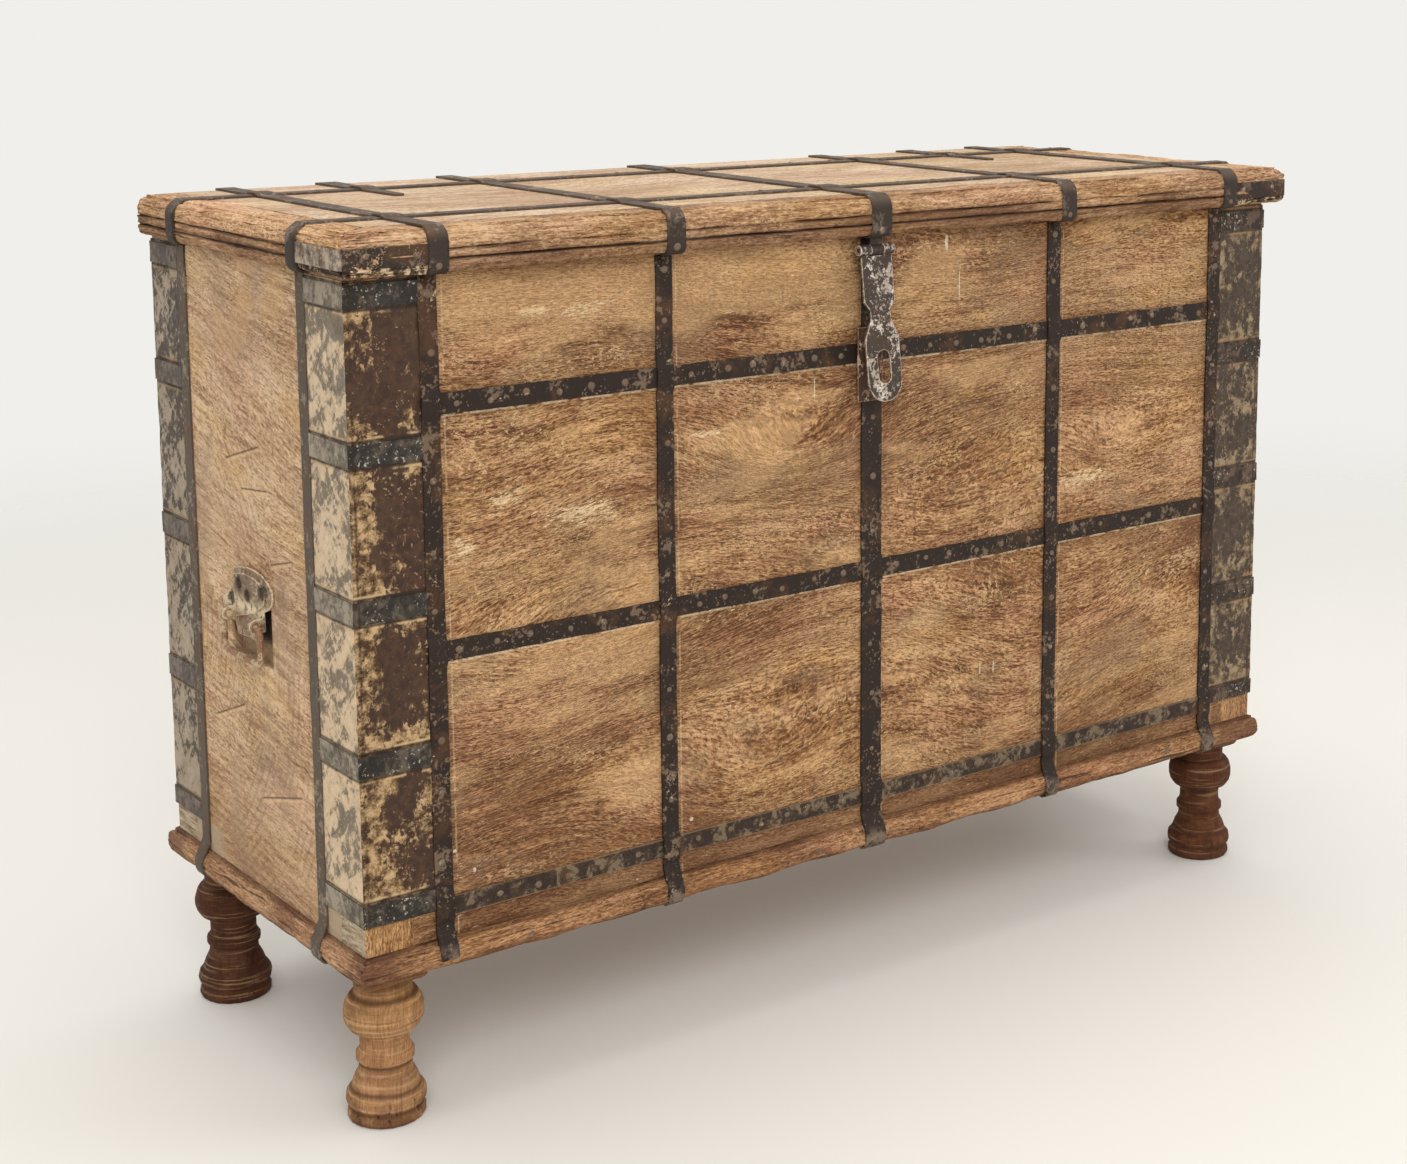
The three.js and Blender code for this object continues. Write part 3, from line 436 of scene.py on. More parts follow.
# Drips and scratches of pale paint on the front: x, top, length, width
DRIPS = [
    (0.147, 1.156, 0.026, 5.0 * MM),
    (0.173, 1.100, 0.050, 1.6 * MM),
    (-0.105, 0.962, 0.036, 1.6 * MM),
    (-0.376, 0.606, 0.006, 5.0 * MM),
    (-0.330, 0.336, 0.006, 5.0 * MM),
    (-0.684, 0.345, 0.007, 4.0 * MM),
    (-0.713, 0.378, 0.006, 4.0 * MM),
    (0.222, 0.468, 0.020, 1.5 * MM),
    (0.250, 0.466, 0.022, 1.5 * MM),
]

# Adze cuts on the end boards, drawn with painted shade and painted highlight: y and z of one end, y and z of
# the other
CUTS = [
    (-0.02, 0.905, 0.10, 0.870),
    (-0.04, 0.845, 0.05, 0.835),
    (-0.11, 0.760, -0.04, 0.742),
    (0.06, 0.520, 0.17, 0.478),
    (-0.12, 0.430, 0.02, 0.392),
]

# The saw's arcs on the end boards: y and z of their centre, and how many there are in a metre
SAW_CENTRE = (0.34, 0.62)
SAW_ARCS = 62

# Heights of the dark lines in the grooves of the turned legs
LEG_GROOVES = (17 * MM, 45 * MM, 79 * MM, 178 * MM)

# The waist of a leg is worn: heights on the new leg and on the worn one
LEG_LEVELS = [
    (0.0, 0.0), (0.078, 0.077), (0.104, 0.099), (0.118, 0.122), (0.138, 0.14), (0.18, 0.18), (1.0, 1.0)]


def oval_figure(graph, place):
    """The place with its height pushed round the ovals of the figure."""
    x, y, z = graph.split(place)
    pushed = z
    for centre, level, half_length, half_height, strength in FIGURES:
        across = (x - centre) * (1 / half_length)
        up = (z - level) * (1 / half_height)
        pushed = pushed + strength * graph.math("POWER", math.exp(-1), across * across + up * up)
    return graph.join(x, y, pushed)


def wood(name, axis, offset, colours, flow=0.1, rings=90.0, dirt_and_shade=None, strength=0.9, figure=False,
         chips=0.6, even=1.0):
    """Dry, open-grained wood: colours are dark, mid and pale, and a given function adds dirt and painted shade.
    """
    material, graph, place = blank_material(name)
    start = oval_figure(graph, place) if figure else place
    turned = graph.mapped(start, (1, 1, 1), offset, GRAIN_TURNS[axis])
    part = graph.group("Wood grain", grain, turned, {"Flow": flow, "Rings per metre": rings})
    dark, mid, pale = colours
    low = tuple(0.45 * a + 0.55 * b for a, b in zip(dark, mid))
    high = tuple(0.5 * a + 0.5 * b for a, b in zip(pale, mid))
    value = (0.28 * part["Fibre"] + 0.24 * part["Streak"] + 0.28 * part["Crumb"] + 0.18 * part["Broad"]
             + 0.02 * part["Rings"])
    tone_colours = zip(TONE_PLACES, (dark, low, mid, high, pale))
    colour = graph.ramp(value, [(0.5 + even * shift, tone) for shift, tone in tone_colours])
    colour = graph.layers(colour, (part["Pores"], 0.5 / even, dark))
    if figure:
        lines = graph.step(part["Rings"], 0.64, 0.98) * graph.step(part["Streak"], 0.4, 0.56)
        colour = graph.layers(colour, (lines, 0.5, low))
    colour = graph.layers(colour, (part["Chips"], chips, pale))
    colour = graph.blend(graph.step(part["Hue"], 0.5, 0.62), colour, WARM_TINT, "MULTIPLY")
    colour = graph.blend(graph.fall(part["Hue"], 0.36, 0.5), colour, ROSY_TINT, "MULTIPLY")
    if dirt_and_shade:
        colour = dirt_and_shade(graph, place, colour)
    height = 0.8 * part["Fibre"] + 0.5 * part["Crumb"] - 0.5 * part["Pores"] + 0.35 * part["Chips"]
    rough = graph.step(part["Fibre"], 0.3, 0.7, 0.7, 0.9)
    finish_material(graph, colour, rough, height, strength, WOOD_RELIEF, specular=0.25)
    return material


def front_dirt_and_shade(graph, place, colour):
    """Dirt beside the straps and low down, painted shade under the lid's overhang, bare strips where straps
    were moved, splinters and drips of pale paint.
    """
    x, y, z = graph.split(place)
    outside = graph.fall(y, CASE_FRONT + 2 * MM, CASE_FRONT + 6 * MM)
    beside_uprights = graph.near(x, UPRIGHTS, 52 * MM)
    beside_crosses = graph.near(z, CROSSES, 38 * MM)
    near_base = graph.step(z, FRAME_TOP, FRAME_TOP + 280 * MM, 0.8, 0.0)
    # painted shade under the lid's overhang, darkest at the lid
    shade_under_lid = graph.step(z, LID_BOTTOM - 50 * MM, LID_BOTTOM, 0.0, 0.5)
    patch = graph.step(graph.noise(place, 9.0, 4.0, 0.6), 0.3, 0.7, 0.2, 1.0)
    dirt_and_lid_shade = graph.most(beside_uprights, beside_crosses, near_base, shade_under_lid) * patch
    cloud = graph.step(graph.noise(place, (5, 1, 11), 4.0, 0.6, offset=(3, 0, 1)), 0.52, 0.66)
    tone = graph.noise(place, (3.2, 1, 11), 5.0, 0.66, 0.3, offset=(8, 0, 4), tilt=(0, 0.12, 0))
    tone = tone + graph.most(*[strength * graph.spot(x, z, *zone) for *zone, strength in PALE_ZONES])
    foot = graph.fall(z, CROSSES[0] - STRAP_HALF - 6 * MM, CROSSES[0])
    splinters = graph.noise(place, (56, 1, 290), 4.0, 0.75, 0.8, tilt=(0, 0.14, 0))
    scarred = graph.most(*[graph.spot(x, z, *scar) for scar in SCARS])
    scar = graph.step(splinters + 0.2 * scarred, 0.63, 0.69)
    under_crosses = graph.near(z, [cross - STRAP_HALF - 2 * MM for cross in CROSSES[1:]], 3.2 * MM)
    right_of_uprights = graph.near(x, [upright + 21.5 * MM for upright in UPRIGHTS], 2.2 * MM)
    broken = graph.step(graph.noise(place, 34.0, 3.0, 0.6), 0.42, 0.5)
    bare = graph.most(under_crosses, 0.4 * right_of_uprights) * broken
    drips = [graph.spot(x, z, centre, top - length / 2, width, 0.75 * length)
             for centre, top, length, width in DRIPS]
    layers = (
        # dirt beside the straps and low down, with painted shade under the lid
        (dirt_and_lid_shade, 0.58, shade(104, 62, 36)),
        (cloud, 0.3, shade(150, 124, 96)),
        (graph.step(tone, 0.52, 0.64), 0.42, shade(226, 182, 130)),
        (graph.fall(tone, 0.36, 0.48), 0.36, shade(120, 76, 44)),
        (foot, 0.5, shade(92, 56, 34)),
        (scar, 0.8, shade(234, 204, 160)),
        (bare, 0.85, shade(236, 210, 170)),
        (graph.step(graph.most(*drips), 0.2, 0.45), 0.85, shade(228, 212, 186)))
    return graph.layers(colour, *[(mask * outside, share, over) for mask, share, over in layers])


def adze_cuts(graph, y, z):
    """Masks of the painted shade in the cuts' bottoms and of the painted highlight on their lower lips."""
    cut_shades, lights = [], []
    for y1, z1, y2, z2 in CUTS:
        length = math.hypot(y2 - y1, z2 - z1)
        dy, dz = (y2 - y1) / length, (z2 - z1) / length
        run = dy * y + dz * z - (dy * y1 + dz * z1)
        off = dy * z - dz * y + (dz * y1 - dy * z1)
        inside = graph.step(graph.near(run, length / 2, 0.62 * length), 0.08, 0.2)
        cut_shades.append(inside * graph.near(off, 0.0, 2.4 * MM))
        lights.append(inside * graph.near(off, -4 * MM, 4 * MM))
    return graph.most(*cut_shades), graph.most(*lights)


def end_marks_and_shade(graph, place, colour):
    """Saw arcs, adze cuts and worn, greyed zones of the end boards, and painted shade in the recess behind a
    handle, with a painted shadow at its top.
    """
    x, y, z = graph.split(place)
    handle = middle("handle_plate_left")
    outer = graph.step(abs(x), CASE_SIDE - 6 * MM, CASE_SIDE - 2 * MM)
    grey = graph.step(graph.noise(place, (1, 7, 4), 4.0, 0.62, offset=(2, 2, 2)), 0.5, 0.64)
    gold = graph.step(graph.noise(place, (1, 6, 6), 4.0, 0.62, offset=(6, 1, 4)), 0.52, 0.64)
    crumb = graph.step(graph.noise(place, 120.0, 4.0, 0.7), 0.5, 0.6)
    ridges = graph.noise(place, (1, 11, 120), 5.0, 0.72, 0.5, offset=(0, 3, 5), tilt=(END_SLANT, 0, 0))
    radius = graph.length(y - SAW_CENTRE[0], z - SAW_CENTRE[1])
    arcs = graph.math("SINE", math.tau * SAW_ARCS * radius + 9.0 * graph.noise(place, 3.0, 2.0))
    arcs_shown = graph.step(graph.noise(place, 6.0, 3.0, 0.5), 0.48, 0.6)
    mess = graph.step(graph.noise(place, 12.0, 5.0, 0.65), 0.5, 0.62)
    handled = graph.near(z, handle.z - 40 * MM, 160 * MM) * mess
    near_base = graph.fall(z, FRAME_TOP, FRAME_TOP + 200 * MM)
    strip = graph.fall(z, FRAME_TOP + 38 * MM, FRAME_TOP + 44 * MM)
    strip = strip * graph.step(abs(y), 140 * MM, 200 * MM)
    cut_shade, lip_highlight = adze_cuts(graph, y, z)
    # painted shade on the inner faces of the recess behind the handle, and a painted shadow at its top
    pocket_shade = graph.near(y, handle.y - 6 * MM, 100 * MM) * graph.near(z, handle.z - 36 * MM, 70 * MM)
    pocket_shade = graph.step(pocket_shade, 0.0, 0.02) * (1.0 - outer)
    shadow = pocket_shade * graph.step(z, handle.z - 66 * MM, handle.z - 44 * MM)
    return graph.layers(
        colour,
        (grey * outer, 0.5, shade(164, 136, 116)),
        (gold * outer, 0.45, shade(204, 162, 112)),
        (crumb * outer, 0.25, shade(228, 198, 164)),
        (graph.fall(ridges, 0.37, 0.44) * outer, 0.5, shade(122, 86, 58)),
        (graph.step(ridges, 0.56, 0.63) * outer, 0.45, shade(232, 200, 160)),
        (graph.step(arcs, 0.1, 1.0) * arcs_shown * outer, 0.3, shade(132, 106, 84)),
        (handled, 0.4, shade(120, 88, 62)),
        (near_base, 0.3, shade(140, 96, 60)),
        # the cuts are drawn in colour alone: painted highlight on their lower lips, painted shade in their
        # bottoms
        (lip_highlight * outer, 0.6, shade(226, 190, 146)),
        (cut_shade * outer, 0.75, shade(78, 50, 32)),
        (strip, 0.8, shade(178, 160, 134)),
        # painted shade in the recess, then a painted shadow at its top
        (pocket_shade, 0.6, shade(140, 112, 88)),
        (shadow, 0.94, shade(20, 14, 10)))


def post_stains(graph, place, colour):
    """Below the sheets the posts are bare: greyed at the ends, tan and streaked at the front."""
    x, y, _ = graph.split(place)
    sideways = graph.step(abs(graph.facing()[0]), 0.4, 0.6)
    streak = graph.noise(graph.mapped(place, (22, 22, 150), turn=(0, 0.3, 0)), 1.0, 4.0, 0.7)
    tan = graph.ramp(streak, [
        (0.38, shade(96, 62, 38)), (0.5, shade(164, 122, 82)), (0.6, shade(206, 168, 124))])
    grey = graph.ramp(streak, [
        (0.38, shade(120, 104, 84)), (0.5, shade(176, 158, 132)), (0.6, shade(206, 190, 164))])
    outside = graph.most(graph.step(abs(x), CASE_SIDE - 4 * MM, CASE_SIDE - MM),
                         graph.step(abs(y), CASE_BACK - 4 * MM, CASE_BACK - MM))
    return graph.layers(colour, (outside, 0.85, graph.blend(sideways, tan, grey)))


def leg_dirt_and_shade(depth):
    """Dark lines in the grooves of a leg, painted shade at its top under the base rail, and dirt on its foot.
    """
    def add(graph, place, colour):
        z = graph.split(place)[2]
        cloud = graph.noise(place, 24.0, 4.0, 0.65)
        groove = graph.near(z + 5 * MM * (cloud - 0.5), LEG_GROOVES, 5 * MM)
        foot = graph.fall(z, 4 * MM, 46 * MM) * graph.step(cloud, 0.36, 0.56)
        # painted shade at the top of the leg, under the base rail
        shade_under_rail = graph.step(z, 176 * MM, 200 * MM)
        waist = graph.near(z, 66 * MM, 26 * MM) * graph.step(cloud, 0.4, 0.6)
        lines = graph.noise(place, (6, 6, 210), 3.0, 0.7)
        patch = graph.noise(place, (28, 28, 40), 4.0, 0.66, offset=(4, 4, 4))
        cracks = graph.step(graph.noise(place, (190, 190, 16), 2.0, 0.6), 0.6, 0.68)
        cracks = cracks * graph.step(z, 20 * MM, 50 * MM, 1.0, 0.15)
        return graph.layers(
            colour,
            (graph.step(patch, 0.52, 0.66), 0.45 * depth, shade(118, 80, 50)),
            (graph.step(lines, 0.52, 0.62), 0.35 * depth, shade(96, 60, 34)),
            (graph.fall(lines, 0.36, 0.46), 0.35 * depth, shade(214, 178, 132)),
            (groove, 0.7 * depth, shade(62, 34, 18)),
            (foot, 0.75 * depth, shade(82, 48, 28)),
            # painted shade under the base rail
            (shade_under_rail, 0.6 * depth, shade(90, 52, 28)),
            (waist, 0.45 * depth, shade(112, 78, 56)),
            (cracks, 0.8, shade(46, 26, 14)))
    return add


def lid_rail_stains(graph, place, colour):
    """Dark grooves of the lid's moulding, a darker lower half, and crust before a corner plate's end."""
    x, y, z = graph.split(place)
    cloud = graph.noise(place, (3, 3, 12), 4.0, 0.6)
    ragged = graph.noise(place, (14, 14, 90), 4.0, 0.7)
    rise = z - LID_BOTTOM
    ragged_rise = rise + 5 * MM * (ragged - 0.5)
    groove = graph.near(ragged_rise, 17.6 * MM, 3.8 * MM)
    second = graph.near(ragged_rise, 30.6 * MM, 5 * MM) * graph.step(cloud, 0.4, 0.52, 0.15, 1.0)
    between = graph.near(rise, 24 * MM, 13 * MM) * graph.step(cloud, 0.44, 0.6)
    low = graph.fall(rise, 14 * MM, 34 * MM) * graph.step(cloud, 0.3, 0.6, 0.45, 1.0)
    gouge = graph.step(ragged, 0.58, 0.66) * graph.step(rise, 12 * MM, 46 * MM, 1.0, 0.2)
    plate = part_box("lid_corner_plate_left")[1]
    corner = graph.step(abs(x), abs(plate.x) - 4.6 * MM, abs(plate.x) + 3.4 * MM)
    corner = corner * graph.fall(rise, 12 * MM, 14 * MM)
    corner = corner * graph.fall(y, plate.y - 8 * MM, plate.y)
    corner = corner * graph.step(graph.facing()[2], -0.9, -0.7)
    crust = graph.ramp(graph.noise(place, 66.0, 4.0, 0.7), [
        (0.44, shade(30, 22, 18)), (0.53, shade(80, 64, 50)), (0.61, shade(210, 186, 150))])
    return graph.layers(
        colour,
        (low, 0.64, shade(92, 57, 34)),
        (gouge, 0.7, shade(72, 44, 26)),
        (between, 0.7, shade(96, 62, 40)),
        (second, 0.75, shade(66, 40, 24)),
        (groove, 0.9, shade(44, 26, 16)),
        (corner, 0.95, crust))


def base_rail_stains(graph, place, colour):
    """Cracks along the base rails, purplish dirt near the corners and a darker underside."""
    x, y, z = graph.split(place)
    cloud = graph.noise(place, (7, 7, 14), 4.0, 0.65, offset=(3, 1, 1))
    crack = graph.noise(place, (5, 5, 120), 3.0, 0.6, offset=(1, 4, 2))
    fleck = graph.step(graph.noise(place, (60, 60, 140), 3.0, 0.7), 0.56, 0.66)
    low = graph.fall(z, FRAME_TOP - 39 * MM, FRAME_TOP - 28 * MM)
    top = graph.step(z, FRAME_TOP - 7 * MM, FRAME_TOP - 2 * MM)
    corner = graph.step(abs(x), CASE_SIDE - 168 * MM, CASE_SIDE - 8 * MM)
    corner = corner * graph.step(abs(y), CASE_BACK - 50 * MM, CASE_BACK - 30 * MM)
    return graph.layers(
        colour,
        (graph.step(cloud, 0.48, 0.62), 0.5, shade(112, 72, 52)),
        (fleck * graph.step(cloud, 0.3, 0.5), 0.4, shade(198, 158, 128)),
        (corner, 0.4, shade(88, 56, 46)),
        (low, 0.65, shade(80, 48, 28)),
        (top, 0.6, shade(76, 46, 28)),
        (graph.step(crack, 0.62, 0.67), 0.8, shade(50, 28, 14)))


# Iron

IRON_RELIEF = 1.0 * MM
SHEET_RELIEF = 1.4 * MM
FLAKE_SCALE = 34.0

# Levels of the raised bands, as shares of a sheet's height
BAND_SHARES = {
    "front_left": (0.02, 0.257, 0.497, 0.738, 0.976),
    "front_right": (0.012, 0.225, 0.462, 0.712, 0.972),
    "back_left": (0.014, 0.253, 0.507, 0.776, 0.978),
    "back_right": (0.02, 0.257, 0.497, 0.738, 0.976),
}
BAND_HALF = 15 * MM

# How the sheets over the corners look: dark coat, pale paint and its second tone, end leaf, bands and the
# line beside them, how much pale paint is left at the front, and how much more at its edge and low down
SHEET_LOOKS = {
    "front_left": {
        "coat": shade(66, 42, 27), "paint": shade(186, 154, 114), "second": shade(122, 96, 64),
        "leaf": (shade(202, 178, 148), shade(134, 120, 102)), "front_band": shade(54, 47, 40),
        "end_band": shade(124, 114, 100), "line": shade(196, 166, 124),
        "share": 0.42, "edge": 0.15, "fallen": 0.1},
    "front_right": {
        "coat": shade(70, 55, 43), "paint": shade(152, 132, 104), "second": shade(112, 92, 71),
        "leaf": (shade(150, 134, 116), shade(96, 84, 72)), "front_band": shade(58, 46, 38),
        "end_band": shade(84, 70, 58), "line": shade(150, 112, 80),
        "share": 0.51, "edge": 0.02, "fallen": 0.02},
    "back_left": {
        "coat": shade(70, 56, 46), "paint": shade(160, 140, 116), "second": shade(112, 94, 74),
        "leaf": (shade(158, 142, 122), shade(88, 78, 68)), "front_band": shade(58, 50, 44),
        "end_band": shade(96, 86, 78), "line": shade(150, 120, 90),
        "share": 0.5, "edge": 0.05, "fallen": 0.0},
}
SHEET_LOOKS["back_right"] = SHEET_LOOKS["back_left"]

# Dents of the handle plates, darkened with painted shade: distance behind and height above the middle of the
# bail's hinge
PLATE_DENTS = [(0.022, 0.047), (-0.053, 0.047), (0.049, 0.024), (-0.005, 0.034)]


def iron(name, dark, worn, flakes=0.0, metallic=0.25, flake_colour=None, strength=0.6, rubbed=0.0,
         change=None, wear=0.62):
    """Old wrought iron: dark coat, rubbed patches, rust and flecks of pale paint, and where its edges are
    rubbed also painted shade in its hollows; change adds its own.
    """
    material, graph, place = blank_material(name)
    part = graph.group("Iron grime", grime, place, {})
    rust, cream = tones("rust", "paint_pale")
    colour = graph.blend(part["Tone"], toned(dark, 0.7), toned(dark, 1.35))
    colour = graph.layers(
        colour,
        (part["Rust"], 0.35, toned(rust, 0.5)),
        (graph.step(part["Worn"], 0.25, 0.8), wear, worn),
        (part["Specks"], 0.5, toned(worn, 1.35)))
    height = part["Pits"] + 0.5 * part["Worn"]
    if rubbed:
        sharp = graph.value(graph.put("NewGeometry"), "Pointiness")
        # painted shade in the hollows, where the surface is concave
        colour = graph.blend(graph.step(sharp, 0.4, 0.485, 0.75, 0.0), colour, toned(dark, 0.35))
        colour = graph.blend(graph.step(sharp, 0.51, 0.58, 0.0, rubbed), colour, toned(worn, 1.45))
    if flakes:
        coat = graph.group("Flaking", flaking, place, {"Scale": FLAKE_SCALE, "Amount": flakes})["Mask"]
        colour = graph.layers(colour, (coat, 0.85, flake_colour or cream))
        height = height + 0.7 * coat
    if change:
        colour = change(graph, place, colour, part)
    rough = graph.step(part["Worn"], 0.0, 1.0, 0.66, 0.5)
    finish_material(graph, colour, rough, height, strength, IRON_RELIEF, metallic)
    return material


def crusted(graph, value, colour, stops):
    """A band's crust: its colour made darker and paler at stops, each given as (place, share)."""
    return graph.ramp(value, [(place, toned(colour, share)) for place, share in stops])


def painted_sheet(corner):
    """Sheet iron over a corner: dark coat, pale paint that flakes off it, and raised bands."""
    look = SHEET_LOOKS[corner]
    coat, paint, (pale, grey) = look["coat"], look["paint"], look["leaf"]
    material, graph, place = blank_material(f"Painted sheet {corner}")
    x, _, z = graph.split(place)
    sideways = graph.step(abs(graph.facing()[0]), 0.4, 0.6)
    part = graph.group("Iron grime", grime, place, {})
    low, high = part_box(f"corner_sheet_{corner}")
    outer = low.x if low.x < 0 else high.x
    gap = graph.distance(z, [low.z + share * (high.z - low.z) for share in BAND_SHARES[corner]])
    clumps = graph.noise(graph.mapped(place, (1, 1, 0.8)), 17.0, 4.0, 0.66, 0.5)
    fine = graph.noise(graph.mapped(place, (1, 1, 0.8), (2, 4, 1)), 95.0, 4.0, 0.72, 0.3)

    # The front leaf: patches of paint that gather at the bands, at the fold and low down
    border = graph.step(gap, BAND_HALF + MM, 70 * MM, 0.07, 0.0)
    edge = graph.step(abs(x - outer), 0.0, 70 * MM, look["edge"], 0.0)
    fallen = graph.step(z, low.z, high.z, look["fallen"], 0.0)
    amount = 0.75 * clumps + 0.42 * fine + border + edge + fallen + (look["share"] - 0.615)
    left = graph.step(amount, 0.5, 0.55)
    ground = graph.blend(graph.step(fine, 0.35, 0.65), toned(coat, 0.62), toned(coat, 1.3))
    ground = graph.layers(
        ground, (part["Rust"], 0.25, toned(look["second"], 0.6)), (part["Specks"], 0.55, paint))
    blotch = graph.noise(place, 70.0, 4.0, 0.7, offset=(1, 1, 6))
    blotched = graph.ramp(blotch, [(0.4, toned(coat, 1.1)), (0.48, look["second"]), (0.6, paint)])
    blotched = graph.layers(blotched, (part["Specks"], 0.6, toned(paint, 1.25)))
    front = graph.blend(left, ground, blotched)

    # The end leaf: smeared greys, paler towards the top
    smear = graph.noise(place, (16, 14, 32), 5.0, 0.7, 0.6, offset=(1, 2, 3), tilt=(0.8, 0, 0))
    marks = graph.noise(place, (30, 30, 95), 3.0, 0.6, 0.4, offset=(3, 1, 2), tilt=(-0.75, 0, 0))
    smear = 0.56 * smear + 0.26 * fine + 0.24 * marks + graph.step(z, low.z, high.z, -0.03, 0.014)
    leaf = graph.ramp(smear, [
        (0.44, toned(pale, 1.15)), (0.51, pale), (0.55, grey), (0.66, toned(grey, 0.7))])
    leaf = graph.layers(
        leaf, (part["Specks"], 0.7, toned(pale, 1.35)), (part["Worn"], 0.25, toned(grey, 0.8)))
    colour = graph.blend(sideways, front, leaf)

    # The bands, with a painted shadow and a pale line beside them, and a broken dark seam along the fold
    crust = 0.5 * fine + 0.5 * clumps
    front_band = crusted(graph, crust, look["front_band"], [(0.43, 0.45), (0.5, 1.0), (0.58, 2.9)])
    front_band = graph.layers(front_band, (part["Specks"], 0.8, shade(180, 174, 156)))
    end_band = crusted(graph, crust, look["end_band"], [(0.42, 0.5), (0.49, 1.0), (0.56, 1.7)])
    end_band = graph.layers(end_band, (part["Specks"], 0.6, toned(pale, 0.9)))
    band = graph.fall(gap, BAND_HALF, BAND_HALF + 1.2 * MM)
    colour = graph.blend(band, colour, graph.blend(sideways, front_band, end_band))
    seam = graph.near(abs(x) + 4 * MM * (clumps - 0.5), abs(outer) - 9 * MM, 3.6 * MM)
    line = graph.near(gap, BAND_HALF + 6.5 * MM, 3 * MM)
    colour = graph.layers(
        colour,
        (seam * graph.step(clumps, 0.38, 0.5), 0.75, toned(coat, 0.5)),
        # painted shadow of the raised bands, beside them
        (graph.near(gap, BAND_HALF + 3 * MM, 4.5 * MM), 0.8, toned(coat, 0.35)),
        (line * graph.step(clumps, 0.44, 0.54), 0.8, look["line"]))
    height = 0.6 * left + fine + 0.4 * part["Pits"]
    finish_material(graph, colour, graph.step(left, 0.0, 1.0, 0.5, 0.8), height, 0.5, SHEET_RELIEF, 0.1)
    return material


def lid_drop(graph, place, colour, part):
    """Straps over the lid are dark where they turn down its edge."""
    down = graph.fall(graph.split(place)[2], LID_TOP - 18 * MM, LID_TOP - 2 * MM)
    dark = graph.blend(part["Worn"], shade(46, 36, 30), shade(98, 84, 74))
    return graph.layers(colour, (down, 0.85, dark))


def rubbed_tip(graph, place, colour, part):
    """Straps are rubbed grey where they turn over the base moulding."""
    tip = graph.fall(graph.split(place)[2], FRAME_TOP - 26 * MM, FRAME_TOP - 2 * MM)
    cloud = graph.step(graph.noise(place, 48.0, 4.0, 0.66), 0.4, 0.56)
    return graph.layers(colour, (tip * cloud, 0.75, shade(136, 118, 102)))


def crusty(graph, place, colour, part):
    """Grey crust with darker bare patches, and a pale line along both edges."""
    crust = graph.noise(place, 42.0, 5.0, 0.7, 0.4, offset=(3, 3, 3))
    edges = [CROSSES[0] + STRAP_HALF, CROSSES[0] - STRAP_HALF]
    rim = graph.near(graph.split(place)[2], edges, 2.4 * MM)
    colour = graph.blend(graph.step(crust, 0.52, 0.62, 0.0, 0.75), colour, shade(130, 112, 88))
    colour = graph.blend(graph.step(crust, 0.4, 0.47, 0.85, 0.0), colour, shade(42, 31, 26))
    return graph.layers(colour, (rim, 0.5, shade(156, 124, 92)))


def plate_tones(end):
    """Pale rubbed bulge of one handle plate, and painted shade in its dents."""
    hinge = middle(f"handle_bail_{end}")
    hinge.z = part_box(f"handle_bail_{end}")[1].z - 5 * MM
    way = 1 if end == "left" else -1

    def add(graph, place, colour, part):
        _, y, z = graph.split(place)
        cloud = graph.noise(place, 70.0, 4.0, 0.7)
        dents = [graph.length(y - (hinge.y + way * across), z - (hinge.z + up)) for across, up in PLATE_DENTS]
        nearest = graph.least(*dents) + 10 * MM * (cloud - 0.5)
        belly = graph.near(z, hinge.z + 17 * MM, 20 * MM) * graph.step(cloud, 0.4, 0.5)
        rim = graph.fall(z, hinge.z - 2 * MM, hinge.z + 6 * MM)
        patch = graph.step(graph.noise(place, 110.0, 4.0, 0.7), 0.5, 0.6)
        return graph.layers(
            colour,
            (patch, 0.45, shade(58, 47, 38)),
            (belly, 0.85, shade(228, 208, 174)),
            (rim * patch, 0.5, shade(150, 96, 58)),
            # painted shade in the dents
            (graph.fall(nearest, 8.5 * MM, 13 * MM), 0.85, shade(52, 42, 34)))
    return add


def greyed_end(graph, place, colour, part):
    """The end leaf of a lid corner plate is rubbed grey."""
    sideways = graph.step(abs(graph.facing()[0]), 0.5, 0.7)
    grey = graph.ramp(graph.noise(place, 52.0, 5.0, 0.7), [
        (0.4, shade(84, 72, 62)), (0.48, shade(140, 124, 108)), (0.58, shade(190, 172, 150))])
    return graph.layers(colour, (sideways, 0.8, grey))


# Modelling tools

PIECES = {}


def piece_of(node):
    """The worn piece that stands for a node, or else the node itself."""
    return PIECES.get(node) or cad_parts[node]


def dress(material, *nodes):
    """Gives the material to the pieces of these nodes."""
    for node in nodes:
        materials = piece_of(node).data.materials
        materials.clear()
        materials.append(material)


def deselect():
    bpy.ops.object.select_all(action="DESELECT")


def pick(piece):
    deselect()
    piece.select_set(True)
    bpy.context.view_layer.objects.active = piece


def worn_copy(node, body):
    """A copy of a node's mesh, merged and selected, that takes the node's place."""
    piece = bpy.data.objects.new(f"worn_{node}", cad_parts[node].data.copy())
    bpy.context.collection.objects.link(piece)
    pick(piece)
    bpy.ops.object.mode_set(mode="EDIT")
    bpy.ops.mesh.select_all(action="SELECT")
    bpy.ops.mesh.remove_doubles(threshold=0.01 * MM)
    bpy.ops.object.mode_set(mode="OBJECT")
    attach(piece, body)
    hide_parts(node)
    PIECES[node] = piece
    return piece


